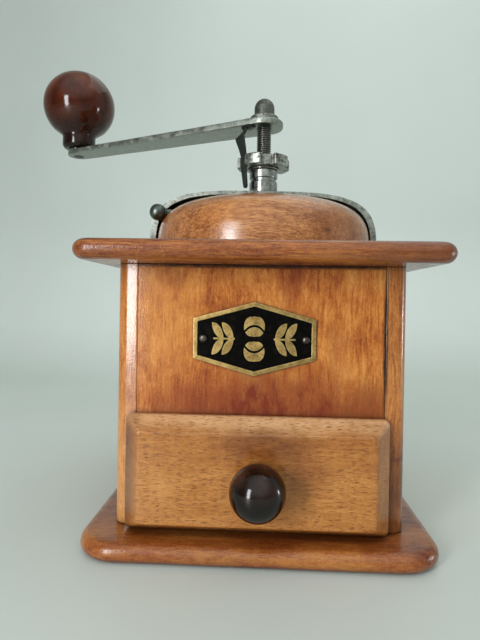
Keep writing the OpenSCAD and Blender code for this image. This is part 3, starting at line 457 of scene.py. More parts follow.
def wood(
    name, tones, grain="X", shift=(0, 0, 0), patch=30, patchy=0.5, streaky=0.45, curl=0.3, fleck=0.5,
    fleck_size=(3.4, 0.6), fleck_tone=None, cracks=0.0, stains_and_painted_light=(), coat=1.0, coat_rough=0.16,
    rough=(0.4, 0.6), pores=0.5,
):
    """Varnished wood: blotches, curl, fibres and growth bands in three tones, stains, patches of painted
    shade and painted highlight, dark flecks and cracks, painted shade in its corners and wear on its
    edges."""
    g = paint(name, shift)
    dark, middle, light = tones
    place = g.wander(22, 5)
    blotch = g.noise(along(grain, patch * 1.7, patch), place, detail=3)
    ripple = g.noise(along(grain, 8, 3.4), g.wander(6, 3), detail=3, rough=0.6)
    fibre = g.noise(along(grain, 30, 1.1), place, detail=3, rough=0.65)
    thread = g.noise(along(grain, 7, 0.45), place, detail=2, rough=0.6)
    band = g.noise(along(grain, 160, 7), place, detail=4, rough=0.55)
    speckle = g.noise(0.9, detail=2, rough=0.7)
    tone = 0.5
    for pattern, share in (
        (blotch, patchy), (ripple, curl), (fibre, streaky), (band, streaky * 0.8), (thread, streaky * 0.8),
        (speckle, 0.28),
    ):
        tone = g.plus(tone, g.centred(pattern), share)
    shade = g.ramp(tone, (0.02, dark), (0.5, middle), (0.98, light))
    fade = g.plus(0.85, g.centred(ripple), 0.5)
    for tone_patch in (StainAndPaintedLight(*row) for row in stains_and_painted_light):
        mask = g.times(g.spot(g.wander(9, tone_patch.stray), tone_patch.centre, tone_patch.size), tone_patch.share)
        shade = g.mix(shade, tone_patch.tint, g.math("MULTIPLY", mask, fade, clamp=True))
    cell_size = along(grain, *fleck_size)
    near = g.cells(cell_size, place)
    pick = g.node("SeparateColor", {0: g.cells(cell_size, place, "Color")})
    mark = g.times(g.remap(near, 0.42, 0.16), g.remap(pick, 0.1, 0.5))
    shade = g.mix(shade, fleck_tone or dark, g.times(mark, fleck))
    if cracks:
        split = g.noise(along(grain, 12, 0.6), g.wander(12, 3), detail=3, rough=0.6)
        shade = g.mix(shade, (70, 30, 12), g.times(g.remap(split, 0.66, 0.72), cracks))
    rim = g.times(g.arris(1.1), g.remap(g.noise(6), 0.35, 0.65))
    shade = g.mix(shade, light, g.times(rim, 0.25))
    # painted shade in corners and gaps
    shade = g.mix(shade, (48, 24, 12), g.times(g.hollow(4), 0.6))
    height = g.plus(g.times(fibre, 0.4), thread, 0.3)
    height = g.plus(height, g.noise(0.7, detail=1), pores)
    g.bump(g.plus(height, g.noise(4, detail=1), 0.6), 0.05, 0.6)
    varnish = g.remap(g.noise(5, detail=3), 0.35, 0.65, coat_rough * 0.8, coat_rough * 1.3)
    return g.finish(
        Base_Color=shade, Roughness=g.remap(g.noise(14), *SPAN, *rough), Coat_Weight=coat,
        Coat_Roughness=varnish, Coat_IOR=1.5, Specular_IOR_Level=0.05,
    )


def metal(
    name, tones, rough, grain, spots=None, spot_share=0.5, turned_lines=False, pits=0.04, edge=None,
    gap=2.5, foot=None,
):
    """Worn metal: mottled between two tones, with darker spots, brighter edges, small pits and painted
    shade in its gaps. gap is how wide a gap gets painted shade, and foot is (low, high): the heights
    between which its darkening towards the bottom fades out."""
    g = paint(name)
    cloud = g.noise(grain * 3, detail=4, rough=0.65)
    fine = g.noise(grain * 0.4, detail=3, rough=0.7)
    shade = g.ramp(g.plus(g.times(cloud, 0.55), fine, 0.45), *zip((0.36, 0.62), tones))
    if spots:
        speck = g.remap(g.noise(grain * 0.8, g.wander(3, 2), detail=3, rough=0.7), 0.52, 0.62)
        shade = g.mix(shade, spots, g.times(speck, spot_share))
    if edge:
        shade = g.mix(shade, edge, g.times(g.arris(0.6), 0.6))
    # painted shade in gaps, and with foot darker towards the bottom; it also dulls the metal there
    painted_shade_and_foot_dark = g.times(g.hollow(gap), 0.75)
    if foot:
        painted_shade_and_foot_dark = g.math("MAXIMUM", painted_shade_and_foot_dark, g.remap(g.axis("Z", g.wander(2.5, 9)), *foot, 0.75, 0))
    # lays the painted shade and the darkening towards the bottom over the colour
    shade = g.mix(shade, (30, 26, 22), painted_shade_and_foot_dark)
    lines = g.noise((60, 60, 0.22), detail=1) if turned_lines else fine
    g.bump(g.plus(g.times(cloud, 0.4), lines, 0.6), pits, 0.5)
    bright, dull = g.remap(painted_shade_and_foot_dark, 0, 1, 1, 0.3), g.remap(cloud, 0.35, 0.65, *rough)
    return g.finish(Base_Color=shade, Metallic=bright, Roughness=dull)


def lacquer(name, tones, foot, coat_rough, patch, even=0.0, shift=(0, 0, 0), worn=None):
    """Dark glossy finish over turned wood, with lighter clouds where it has rubbed thin, and painted shade
    in
    its hollows. foot is (low, high): the heights over which it goes from its darkest to its full tone, a
    painted shade low down and a painted reflection higher up."""
    g = paint(name, shift)
    place = g.wander(16, 8)
    cloud = g.noise(along("Z", patch * 1.3, patch), place, detail=3)
    fibre = g.noise(along("Z", 14, 0.9), place, detail=3)
    tone = g.plus(g.remap(cloud, 0.32 - even, 0.72 + even), g.centred(fibre), 0.25)
    # darker towards the foot, lighter above: painted shade low down, painted reflection higher up
    shade = g.ramp(g.times(tone, g.remap(g.axis("Z", place), *foot)), *zip((0, 0.45, 1), tones))
    if worn:
        scuff = g.remap(g.noise(1.6, detail=4, rough=0.75), 0.6, 0.7)
        shade = g.mix(shade, worn, g.times(scuff, 0.3))
    # painted shade in hollows
    shade = g.mix(shade, (12, 8, 7), g.times(g.hollow(3), 0.7))
    g.bump(g.noise(3, detail=3, rough=0.6), 0.08, 0.6)
    return g.finish(
        Base_Color=shade, Roughness=g.remap(cloud, *SPAN, 0.3, 0.45), Coat_Weight=0.85,
        Coat_Roughness=coat_rough, Coat_IOR=1.45, Specular_IOR_Level=0.0,
    )


def enamel():
    """Black enamel of the nameplate's ground, scuffed and a little dusty."""
    g = paint("plate_enamel")
    dust = g.remap(g.noise(2.2, detail=4, rough=0.7), 0.5, 0.72)
    shade = g.mix((4, 3, 2), (30, 24, 16), g.times(dust, 0.4))
    g.bump(g.noise(0.8, detail=2), 0.03, 0.4)
    dull = g.remap(dust, 0, 1, 0.3, 0.5)
    return g.finish(Base_Color=shade, Roughness=dull, Specular_IOR_Level=0.06)


RED_BROWN = (124, 50, 20)
DEEP_BROWN = (84, 38, 20)
# painted shade for the dark gaps between boards and panels
PAINTED_GAP_SHADE = (34, 14, 6)
front_board = box("front_panel")

FRONT_WOOD = wood(
    "case_front_wood", ((132, 58, 18), (182, 106, 42), (208, 142, 70)), grain="Z", shift=(3.1, 0.4, 1.7),
    patch=17, patchy=0.6, streaky=0.4, curl=0.45, fleck=0.3, fleck_size=(3.2, 0.55), cracks=0.6,
    coat=0.65, coat_rough=0.15, pores=2.8,
    stains_and_painted_light=(
        ((-46, -64, 100), (26, 20, 44), (206, 142, 78), 0.4),
        ((6, -64, 58), (62, 20, 32), (114, 38, 6), 1.05), ((14, -64, 116), (6, 20, 18), RED_BROWN, 0.5),
        ((34, -64, 90), (6, 20, 16), RED_BROWN, 0.4),
        ((50, -64, 60), (24, 20, 20), (120, 54, 16), 0.75),
        ((-36, -64, 62), (22, 20, 14), RED_BROWN, 0.55),
        # painted shade in the joint at the right wall, under the top board and along the panel's foot
        ((front_board.x1, front_board.y0, 92), (1.7, 8, 48), PAINTED_GAP_SHADE, 1.3, 0.8),
        ((0, front_board.y0, front_board.z1), (120, 8, 2.3), PAINTED_GAP_SHADE, 1.3, 0.6),
        ((0, front_board.y0, front_board.z0), (120, 8, 2.0), PAINTED_GAP_SHADE, 1.2, 0.6),
    ),
)
SIDE_WOOD = wood(
    "case_side_wood", ((124, 60, 22), (176, 108, 50), (204, 136, 70)), grain="Z", shift=(7.3, 2.4, 0.2),
    patch=24, streaky=0.5, coat_rough=0.13, pores=1.4,
    stains_and_painted_light=(
        ((-62, -64, 24), (12, 24, 44), (206, 152, 92), 0.75),
        ((62, -64, 20), (18, 20, 44), (70, 30, 10), 0.8), ((60, -62, 41), (9, 8, 2), DEEP_BROWN, 0.7),
        # painted shade in the joint with the front panel
        ((front_board.x1, front_board.y0, 92), (1.5, 8, 48), PAINTED_GAP_SHADE, 1.3, 0.8),
    ),
)
WIDE_BOARD = {"fleck": 0.4, "coat": 0.9, "coat_rough": 0.2, "pores": 3.0}
BOARD_WOOD = wood(
    "board_wood", ((90, 38, 10), (140, 76, 30), (174, 108, 52)), shift=(0.6, 5.1, 2.2), patch=26,
    streaky=0.6, **WIDE_BOARD,
    stains_and_painted_light=(
        ((-80, -60, 128), (16, 60, 20), DEEP_BROWN, 0.5),
        ((72, -88, 128), (64, 44, 30), (96, 44, 20), 0.8),
    ),
)
BASE_WOOD = wood(
    "base_wood", ((90, 34, 10), (138, 74, 30), (168, 106, 48)), shift=(9.2, 1.1, 4.4), patch=24,
    patchy=0.65, streaky=0.35, **WIDE_BOARD,
    stains_and_painted_light=(
        # painted highlight: lighter middle of the front's rounded edge
        ((-8, -92, 6), (66, 14, 9), (204, 148, 82), 0.4),
        # painted shadow of the drawer front on the base
        ((0, -78, 13), (90, 14, 6), (104, 42, 14), 0.6),
    ),
)
DRAWER_WOOD = wood(
    "drawer_front_wood", ((134, 74, 28), (168, 108, 50), (196, 138, 76)), shift=(2.5, 0.3, 6.1),
    patchy=0.35, streaky=0.3, curl=0.15, fleck=0.95, fleck_size=(4.8, 0.38), fleck_tone=(88, 38, 10),
    coat=0.75, coat_rough=0.24,
    stains_and_painted_light=(
        ((3, -76, 49), (30, 30, 12), (96, 40, 8), 0.85, 3),
        ((20, -76, 36), (15, 30, 12), (112, 54, 20), 0.55, 3),
        # painted highlight: lighter top bevel, a painted sheen
        ((0, -72, 59), (130, 16, 8), (224, 178, 132), 0.95, 3),
        ((-57, -70, 32), (9, 14, 40), (84, 34, 6), 1.15, 3),
        ((-50, -76, 30), (24, 30, 30), (204, 150, 94), 0.35, 3),
    ),
)
DRAWER_BOX_WOOD, DRAWER_BACK_WOOD = (
    wood(
        name, ((158, 116, 72), (186, 148, 100), (206, 172, 124)), grain, shift, patchy=0.3, curl=0.15,
        fleck=0.6, fleck_tone=(132, 92, 54), coat=0.0, rough=(0.55, 0.7),
    )
    for name, grain, shift in (
        ("drawer_box_wood", "Y", (1.5, 3.3, 0.1)), ("drawer_back_wood", "X", (4.5, 3.3, 8.1))
    )
)
LID_WOOD = wood(
    "lid_wood", ((112, 58, 26), (158, 100, 54), (190, 132, 80)), shift=(6.6, 8.0, 3.2), patch=18,
    patchy=0.35, streaky=0.7, fleck=0.8, fleck_size=(5.0, 0.75), coat_rough=0.22,
    stains_and_painted_light=(
        ((-52, -30, 142), (12, 26, 20), RED_BROWN, 0.4),
        ((36, -48, 146), (22, 16, 16), (136, 78, 44), 0.45),
        ((-20, -52, 148), (18, 16, 10), (196, 128, 66), 0.4),
        ((30, -46, 142), (3.4, 8, 3), (56, 24, 12), 1.2, 1),
    ),
)
# heights of the pull's painted shade below and painted reflection above
PULL_FOOT = box("drawer_knob").z0 + 8
PULL_FINISH = lacquer(
    "drawer_pull_finish", ((12, 7, 5), (50, 27, 16), (112, 62, 36)), (PULL_FOOT, PULL_FOOT + 22),
    coat_rough=0.13, patch=9, worn=(60, 52, 46),
)
# the grip is darker towards its foot: a painted shade
GRIP_FINISH = lacquer(
    "grip_finish", ((18, 7, 3), (74, 28, 9), (112, 60, 28)), (210, 246), coat_rough=0.1, patch=14,
    even=0.22, shift=(2.2, 0.0, 7.7),
)
SHELL_METAL = metal(
    "shell_metal", ((116, 118, 108), (192, 196, 187)), (0.32, 0.5), 1.5, spots=(48, 48, 42),
    spot_share=0.65, pits=0.08, foot=(138, 148),
)
BRIGHT_STEEL = metal(
    "bright_steel", ((120, 122, 118), (188, 190, 186)), (0.16, 0.3), 1.6, spots=(90, 84, 76),
    spot_share=0.35, turned_lines=True,
)
ARM_STEEL = metal(
    "arm_steel", ((124, 128, 119), (170, 175, 165)), (0.3, 0.5), 1.6, spots=(84, 82, 74),
    spot_share=0.4, pits=0.07, edge=(220, 222, 216),
)
BOSS_STEEL = metal(
    "boss_steel", ((60, 62, 54), (176, 180, 170)), (0.34, 0.5), 1.0, spots=(30, 28, 22),
    spot_share=0.8, pits=0.35, edge=(226, 228, 222),
)
NUT_STEEL = metal(
    "nut_steel", ((78, 78, 70), (196, 200, 190)), (0.28, 0.45), 2.0, spots=(34, 32, 26),
    spot_share=0.85, pits=0.08, edge=(200, 202, 192),
)
DARK_STEEL = metal(
    "dark_steel", ((74, 76, 70), (122, 124, 114)), (0.4, 0.55), 1.6, spots=(54, 50, 44)
)
CATCH_STEEL = metal("catch_steel", ((40, 44, 44), (74, 78, 76)), (0.34, 0.5), 1.6)
THREAD_STEEL = metal(
    "thread_steel", ((32, 32, 28), (80, 80, 72)), (0.34, 0.46), 1.2, spots=(54, 42, 32),
    edge=(220, 220, 214), gap=0.9,
)
KNOB_STEEL = metal(
    "lid_knob_steel", ((74, 80, 76), (112, 120, 114)), (0.22, 0.4), 1.6, spots=(52, 54, 50)
)
MILL_IRON = metal(
    "mill_iron", ((58, 56, 54), (92, 90, 86)), (0.5, 0.7), 3, spots=(74, 50, 36), pits=0.15
)
BURR_STEEL = metal("burr_steel", ((120, 120, 116), (166, 166, 160)), (0.3, 0.45), 1.5)
BUSH_BRASS = metal("bush_brass", ((140, 112, 60), (188, 156, 88)), (0.3, 0.45), 2)
PLATE_BRASS = metal(
    "plate_brass", ((148, 118, 66), (190, 160, 104)), (0.34, 0.5), 1.3, spots=(98, 72, 36),
    spot_share=0.55, edge=(214, 196, 130),
)
NAIL_STEEL = metal(
    "nail_steel", ((58, 54, 50), (112, 106, 98)), (0.25, 0.4), 1, spots=(44, 34, 28)
)
SCREW_STEEL = metal("screw_steel", ((110, 108, 102), (160, 158, 150)), (0.3, 0.5), 1.4)
PLATE_ENAMEL = enamel()


# ---- boards of the case

BOARD_CORNER = 8.4
BASE_CORNER = 18
WALL_CORNER = 5.6
WALL_FALL = 1.0
WALL_FLAT = 0.06
FLAT_ROUND = 5
PANEL_FALL = 0.3
JOINT_EDGES = {"left": 0.07, "right": 0.38}
BOARD_EDGE = 0.3
FOOT_EDGE = 0.8
DRAWER_EDGE = 0.5
LAND = 1.6
CASE_SCREW_Y = 44
CASE_SCREW_SINK = [(0, -1), (4.4, -1), (4.4, 0.8), (1.6, 3.2), (0, 3.2)]
THROAT_R = 25
THROAT_MOUTH_R = 34
THROAT_MOUTH_DEPTH = 5


def bullnose(node, corner, material, hole):
    """A board with a half-round edge, in the box of its CAD node, and with a shape cut out of it."""
    b = box(node)
    half = b.rise / 2
    turns = spread(-QUARTER, QUARTER, 10)
    levels = [(half * (1 - cos(a)), b.z0 + half + half * sin(a)) for a in turns]
    levels = [(half + LAND, b.z0), *levels, (half + LAND, b.z1)]
    shape = prism(rectangle(b.x0, b.y0, b.x1, b.y1, corner), levels, steps=10, run=5)
    board = piece(node + "_wood", shape, material, "case", node, uneven=0.12)
    cut(board, hole)


def wall(side):
    """A side wall. Its front and back fall away a little to its well rounded outer corners."""
    b = box(side + "_wall")
    inner, outer = (b.x0, b.x1) if side == "right" else (b.x1, b.x0)
    flat = inner + (outer - inner) * WALL_FLAT
    joint = JOINT_EDGES[side]
    corners = [
        (inner, b.y0, joint), (flat, b.y0, FLAT_ROUND), (outer, b.y0 + WALL_FALL, WALL_CORNER),
        (outer, b.y1 - WALL_FALL, WALL_CORNER), (flat, b.y1, FLAT_ROUND), (inner, b.y1, joint),
    ]
    corners = corners if side == "right" else corners[::-1]
    shape = prism(corners, edged(b.z0, b.z1, FOOT_EDGE, BOARD_EDGE), run=12)
    piece(side + "_wall_wood", shape, SIDE_WOOD, "case", side + "_wall", uneven=0.06)


def bowed_panel(node):
    """A case panel whose outer face is planed a little lower towards its sides."""
    b = box(node)
    front = node == "front_panel"
    outer, inner, inward = (b.y0, b.y1, 1) if front else (b.y1, b.y0, -1)
    end, middle = outer + inward * PANEL_FALL, (b.x0 + b.x1) / 2
    shares = [k / 20 for k in range(-19, 20)]
    corners = [
        (b.x0, end, JOINT_EDGES["left"]),
        *((middle + b.half * t, outer + inward * PANEL_FALL * abs(t) ** 12, 0) for t in shares),
        (b.x1, end, JOINT_EDGES["right"]), (b.x1, inner, BOARD_EDGE), (b.x0, inner, BOARD_EDGE),
    ]
    corners = corners if front else corners[::-1]
    shape = prism(corners, edged(b.z0, b.z1, BOARD_EDGE, BOARD_EDGE), steps=3)
    piece(node + "_board", shape, FRONT_WOOD, "case", node)


def drawer_board(node, material):
    """A plain board in the box of its CAD node, with every edge eased."""
    b = box(node)
    levels = edged(b.z0, b.z1, DRAWER_EDGE, DRAWER_EDGE)
    shape = prism(rectangle(b.x0, b.y0, b.x1, b.y1, DRAWER_EDGE), levels, steps=3)
    piece(node + "_board", shape, material, "drawer", node)


base, top, left, right = (box(node) for node in ("base_board", "top_board", "left_wall", "right_wall"))
CASE_SCREW_X = right.x1 - left.half
case_screw_places = [at(sx * CASE_SCREW_X, sy * CASE_SCREW_Y, base.z0) for sx in (-1, 1) for sy in (-1, 1)]
sinks = copies(turned(CASE_SCREW_SINK, steps=32), case_screw_places)
throat = [
    (0, top.z0 - 1), (THROAT_R, top.z0 - 1), (THROAT_R, top.z1 - THROAT_MOUTH_DEPTH),
    (THROAT_MOUTH_R, top.z1), (THROAT_MOUTH_R, top.z1 + 1), (0, top.z1 + 1),
]
bullnose("base_board", BASE_CORNER, BASE_WOOD, sinks)
bullnose("top_board", BOARD_CORNER, BOARD_WOOD, turned(throat, steps=64))
wall("left")
wall("right")
bowed_panel("front_panel")
bowed_panel("back_panel")


# ---- screws

SLOT_SHARE = 0.22
SHELL_T = 3.1
FOOT_REACH = 8.5
FOOT_W = 12
FOOT_T = 2.6
FOOT_TURNS = (35, 90, 145)


def slotted_screw(shank_r, reach, head_r, head_h, dome=0.0):
    """A slotted screw along +Z, from -reach up to z = 0, or to a dome above it. A head without a dome
    tapers to the shank."""
    gap = head_r * SLOT_SHARE / 2
    depth = head_h * 0.5
    floor = dome - depth
    if dome:
        foot_r, rise = head_r, 0.55
        shank = [(0, -reach), (shank_r, -reach), (shank_r, -0.2), (head_r, -0.2)]
    else:
        foot_r, rise = shank_r + (head_r - shank_r) * 0.5, 0.12
        shank = [(0, -reach), (shank_r, -reach), (shank_r, -head_h)]
    parts = [turned([*shank, (foot_r, floor), (0, floor)], steps=32)]
    levels = [(0, floor), (0, dome - rise), (rise * 0.35, dome - rise * 0.3), (rise, dome)]
    for side in (0, 180):
        rings = []
        for margin, z in levels:
            radius = (foot_r if z == floor else head_r) - margin
            first = asin(min(0.95, (gap + margin * 0.3) / radius))
            rings.append(arc(radius, spread(first, pi - first, 16), z))
        parts.append(moved(stack(rings), spun(side)))
    return joined(*parts)


def screws(node, body, places, **sizes):
    """The slotted screws of a CAD node, one at each place."""
    shape = copies(slotted_screw(**sizes), places)
    piece(node + "_slotted", shape, SCREW_STEEL, body, node)


HEAD_DOWN = spun(180, "X")
turns = (20, 75, 130, 50)
places = [place @ HEAD_DOWN @ spun(turn) for place, turn in zip(case_screw_places, turns)]
screws("case_screws", "case", places, shank_r=1.9, reach=26, head_r=3.6, head_h=2.4)

shell, lid, sleeve = (box(node) for node in ("hopper_shell", "hopper_lid", "bearing_sleeve"))
FOOT_HOLE = shell.half + FOOT_REACH - 4
places = [spun(a) @ at(FOOT_HOLE, 0, shell.z0 + FOOT_T) @ spun(2 * a) for a in FOOT_TURNS]
screws("hopper_screws", "case", places, shank_r=2.1, reach=8.4, head_r=3.7, head_h=2.2, dome=2.1)


# ---- hopper shell and lid

DOME_STEPS = 40
DOME_COLUMNS = 110
SHELL_CROWN_T = 1.9
SHELL_POWER = 3.8
RIM_FRONT = 10
RIM_TURN = 3
LID_T = 7
LID_CROWN_T = 6.6
LID_POWER = 3.7
LID_LAP = 3
BOSS_R = sleeve.half + 1.5
BOSS_Z = box("lid_bracket").z1 + 0.5


def half_dome(outer, inner, power, front, hole):
    """Half of a bun-shaped dome, where y >= -front, with a round hole in its crown. outer and inner
    are the radius and height of its two faces."""
    reach = max(front, hole)
    turns = spread(0, QUARTER, DOME_STEPS)[:-1]
    turns = [a for a in turns if outer[0] * cos(a) ** (2 / power) > reach * 1.2]
    points = []
    for radius, height in (outer, inner):
        radii = [radius * cos(a) ** (2 / power) for a in turns]
        radii += spread(radii[-1], reach, 3)[1:]
        closing = len(radii) - 1
        if hole < front:
            radii += spread(front, hole, 2)[1:]
        for r in radii:
            z = height * (1 - min(1, r / radius) ** power) ** (1 / power)
            first = -asin(min(1, front / r))
            points += arc(r, spread(first, pi - first, DOME_COLUMNS), z)
    count, size, rows = DOME_COLUMNS + 1, len(points) // 2, len(radii) - 1
    faces = []
    for a in (j * count + i for j in range(rows) for i in range(DOME_COLUMNS)):
        quad = (a, a + 1, a + count + 1, a + count)
        faces += [quad, tuple(size + k for k in reversed(quad))]
    borders = [(j * count + i, j * count + i + 1) for j in (0, rows) for i in range(DOME_COLUMNS)]
    borders += [(j * count + i, (j + 1) * count + i) for j in range(closing) for i in (0, DOME_COLUMNS)]
    return points, faces + [(a, b, size + b, size + a) for a, b in borders]


shell_dome = half_dome(
    (shell.half, shell.rise), (shell.half - SHELL_T, shell.rise - SHELL_CROWN_T), SHELL_POWER, RIM_FRONT,
    sleeve.half,
)
foot = prism(
    rectangle(shell.half - SHELL_T / 2, -FOOT_W / 2, shell.half + FOOT_REACH, FOOT_W / 2, 0, 4, 4, 0),
    edged(shell.z0, shell.z0 + FOOT_T, 0.1, 0.6),
)
boss_top = shell.z1 - 1
boss = [(sleeve.half, BOSS_Z), (BOSS_R, BOSS_Z), (BOSS_R, boss_top), (sleeve.half, boss_top)]
shape = joined(
    moved(shell_dome, at(0, 0, shell.z0) @ spun(RIM_TURN)), turned(boss, closed=True),
    copies(foot, [spun(a) for a in FOOT_TURNS]),
)
piece("hopper_shell_metal", shape, SHELL_METAL, "case", "hopper_shell", edge=0.55, limit=55)

lid_dome = half_dome(
    (lid.half, lid.rise), (lid.half - LID_T, lid.rise - LID_CROWN_T), LID_POWER, LID_LAP, BOSS_R + 0.5
)
shape = moved(lid_dome, at(0, 0, lid.z0) @ spun(180))
piece("hopper_lid_wood", shape, LID_WOOD, "lid", "hopper_lid", edge=0.9, limit=55)

LID_BALL_R = 4.4
LID_BALL_PLACE = 58.8
LID_BALL_TURN = 198
LID_STEM_R = 1.9
LID_STEM_REACH = 12
ball_z = box("lid_knob").z1 - LID_BALL_R
ball_profile = [
    (0, -LID_STEM_REACH), (LID_STEM_R, -LID_STEM_REACH), (LID_STEM_R, -LID_BALL_R - 0.3),
    (LID_STEM_R + 0.5, -LID_BALL_R + 0.25), *ball_arc(LID_BALL_R, LID_BALL_R, -57, 78, 22),
    (LID_BALL_R * 0.12, LID_BALL_R * 0.985), (0, LID_BALL_R * 0.985),
]
place = spun(LID_BALL_TURN) @ at(LID_BALL_PLACE, 0, ball_z) @ spun(90, "Y")
piece("lid_ball", moved(turned(ball_profile, steps=48), place), KNOB_STEEL, "lid", "lid_knob")


# ---- drawer

BEVEL_END = 7.2
BEVEL_EDGE = 5.4
FRONT_EDGE_T = 3
FRONT_CORNER = 2.6
PULL_NECK_R = 6.2
front, pull = box("drawer_front"), box("drawer_knob")


def drawer_front_shape():
    """The drawer's bevelled front: outlines (margin at the ends, margin above and below, corner
    radius, distance out from its back)."""
    w, h, t = front.half, front.rise / 2, front.y1 - front.y0
    lip = 0.45
    soft = 0.7
    levels = [
        (lip, lip, FRONT_CORNER - lip, 0), (0, 0, FRONT_CORNER, lip),
        (0, 0, FRONT_CORNER, FRONT_EDGE_T - soft), (0.12, 0.1, FRONT_CORNER - 0.1, FRONT_EDGE_T - 0.1),
        (0.55, 0.42, FRONT_CORNER - 0.4, FRONT_EDGE_T + soft * 0.7),
        (BEVEL_END - soft, BEVEL_EDGE - soft * 0.75, 1.2, t - soft * 1.1),
        (BEVEL_END - soft * 0.2, BEVEL_EDGE - soft * 0.15, 1.0, t - soft * 0.35),
        (BEVEL_END + soft * 0.4, BEVEL_EDGE + soft * 0.4, 0.8, t - soft * 0.06),
        (BEVEL_END + soft * 1.2, BEVEL_EDGE + soft * 1.2, 0.7, t),
    ]
    rings = []
    for dx, dz, r, out in levels:
        rings.append([(*p, out) for p in outline(rectangle(dx - w, dz - h, w - dx, h - dz, r))])
    return stack(rings)


shape = moved(drawer_front_shape(), front.back)
piece("drawer_front_wood", shape, DRAWER_WOOD, "drawer", "drawer_front")
for node in ("drawer_left_side", "drawer_right_side", "drawer_bottom"):
    drawer_board(node, DRAWER_BOX_WOOD)
drawer_board("drawer_back", DRAWER_BACK_WOOD)

pull_reach = front.y0 - pull.y0 - pull.half
pull_z = (pull.z0 + pull.z1) / 2
pull_profile = [
    (0, -0.2), (PULL_NECK_R + 0.7, -0.2), (PULL_NECK_R + 0.8, 0.5), (PULL_NECK_R + 0.2, 1.1),
    (PULL_NECK_R - 0.2, 1.8),
    *((r, pull_reach + z) for r, z in ball_arc(pull.half, pull.half, -56, 90, 36)),
]
shape = moved(turned(pull_profile), at(0, front.y0, pull_z) @ FACING)
piece("drawer_pull", shape, PULL_FINISH, "drawer", "drawer_knob")
place = at(0, front.y1, pull_z) @ spun(-90, "X") @ spun(30)
screws("drawer_knob_screw", "drawer", [place], shank_r=2, reach=18, head_r=4.2, head_h=2.2, dome=2.1)


# ---- nameplate

PLATE_T = 0.8
PLATE_RIM = 1.9
PLATE_END = 17.6
RELIEF_GROWN = (1.12, 1, 1.6)
NAIL_SPAN = 44.8
NAIL_R = 1.9
plate = box("nameplate")


def nameplate_shape():
    """Six-sided plate with a raised rim whose edges are rounded."""
    w, h, t = plate.half, plate.rise / 2, plate.y1 - plate.y0
    end = PLATE_END / 2
    corners = [(w, end, 0.5), (0, h, 0.8), (-w, end, 0.5), (-w, -end, 0.5), (0, -h, 0.8), (w, -end, 0.5)]
    soft = 0.22
    levels = [
        (0.1, 0), (0, 0.15), (0, t - soft), (soft * 0.3, t - soft * 0.3), (soft, t),
        (PLATE_RIM - soft, t), (PLATE_RIM - soft * 0.2, t - soft * 0.35), (PLATE_RIM, t - soft),
        (PLATE_RIM, PLATE_T),
    ]
    return prism(corners, levels, run=4)


shape = moved(nameplate_shape(), plate.back)
piece("nameplate_brass", shape, PLATE_BRASS, "case", "nameplate")
dressed("nameplate_relief", PLATE_BRASS, "case", "plate_brass", edge=0.08, grown=RELIEF_GROWN)

nail_profile = [(0, -5), (0.6, -5), (0.6, PLATE_T), (NAIL_R, PLATE_T + 0.15)]
nail_profile += [(NAIL_R * 0.99 * r, PLATE_T + 0.3 + 1.35 * z) for r, z in ball_arc(1, 1, 8, 90, 10)]
places = [plate.back @ at(side * NAIL_SPAN / 2, 0, 0) for side in (-1, 1)]
shape = copies(turned(nail_profile, steps=32), places)
piece("nameplate_nails_round", shape, NAIL_STEEL, "case", "nameplate_nails")


# ---- bearing, washer and nut

GROOVE_R = 7.2
GROOVE_LOW = 6.4
GROOVE_W = 2.2
SPINDLE_R = 4
BORE_R = SPINDLE_R + 0.06
NUT_R = 14.7
NUT_ROOT_R = 11.6
NUT_LOBES = 5
NUT_NOTCH = 30
washer, nut, grip = (box(node) for node in ("thrust_washer", "adjusting_nut", "crank_knob"))
pin_x, pin_y = (grip.x0 + grip.x1) / 2, (grip.y0 + grip.y1) / 2
CRANK_ANGLE = degrees(atan2(pin_y, pin_x))
CRANK_L = hypot(pin_x, pin_y)
CATCH_ANGLE = CRANK_ANGLE + 51.4


def ring(node, corners, material, body, slot, steps=4, uneven=0.0):
    """A ring turned about the spindle's axis from the outline (radius, height, rounding) of its side."""
    shape = turned(outline(corners, steps=steps), closed=True)
    piece(node + "_turned", shape, material, body, node, uneven=uneven)


groove_z = shell.z1 + GROOVE_LOW
sleeve_outline = [
    (BORE_R, sleeve.z0, 0), (sleeve.half, sleeve.z0, 0.4), (sleeve.half, groove_z, 0.5),
    (GROOVE_R, groove_z + 0.25, 0.3), (GROOVE_R, groove_z + GROOVE_W - 0.25, 0.3),
    (sleeve.half, groove_z + GROOVE_W, 0.5), (sleeve.half, sleeve.z1, 0.7), (BORE_R, sleeve.z1, 0.4),
]
ring("bearing_sleeve", sleeve_outline, BRIGHT_STEEL, "case", "bright_steel")
washer_outline = rectangle(BORE_R, washer.z0, washer.half, washer.z1, 0.1, 0.3, 0.3, 0.1)
ring("thrust_washer", washer_outline, BRIGHT_STEEL, "case", "bright_steel", steps=3)


def nut_corners():
    """Outline of the lobed nut, seen from above."""
    step = 360 / NUT_LOBES
    half = (step - NUT_NOTCH) / 2
    corners = []
    for i in range(NUT_LOBES):
        marks = [(NUT_ROOT_R, -half, 0.5), (NUT_R, -half, 0.9)]
        marks += [(NUT_R, half * k / 3, 0) for k in (-2, -1, 0, 1, 2)]
        marks += [(NUT_R, half, 0.9), (NUT_ROOT_R, half, 0.5)]
        marks += [(NUT_ROOT_R, step / 2 - 5, 0), (NUT_ROOT_R, step / 2 + 5, 0)]
        for radius, turn, rounding in marks:
            a = radians(i * step + turn)
            corners.append((radius * cos(a), radius * sin(a), rounding))
    return corners


shape = bored(nut_corners(), edged(nut.z0, nut.z1, 0.5, 0.7), BORE_R, chamfer=0.6)
shape = moved(shape, spun(CATCH_ANGLE + 180 / NUT_LOBES))
piece("adjusting_nut_lobed", shape, NUT_STEEL, "nut", "adjusting_nut")


# ---- spindle, arm, boss, cap nut and catch

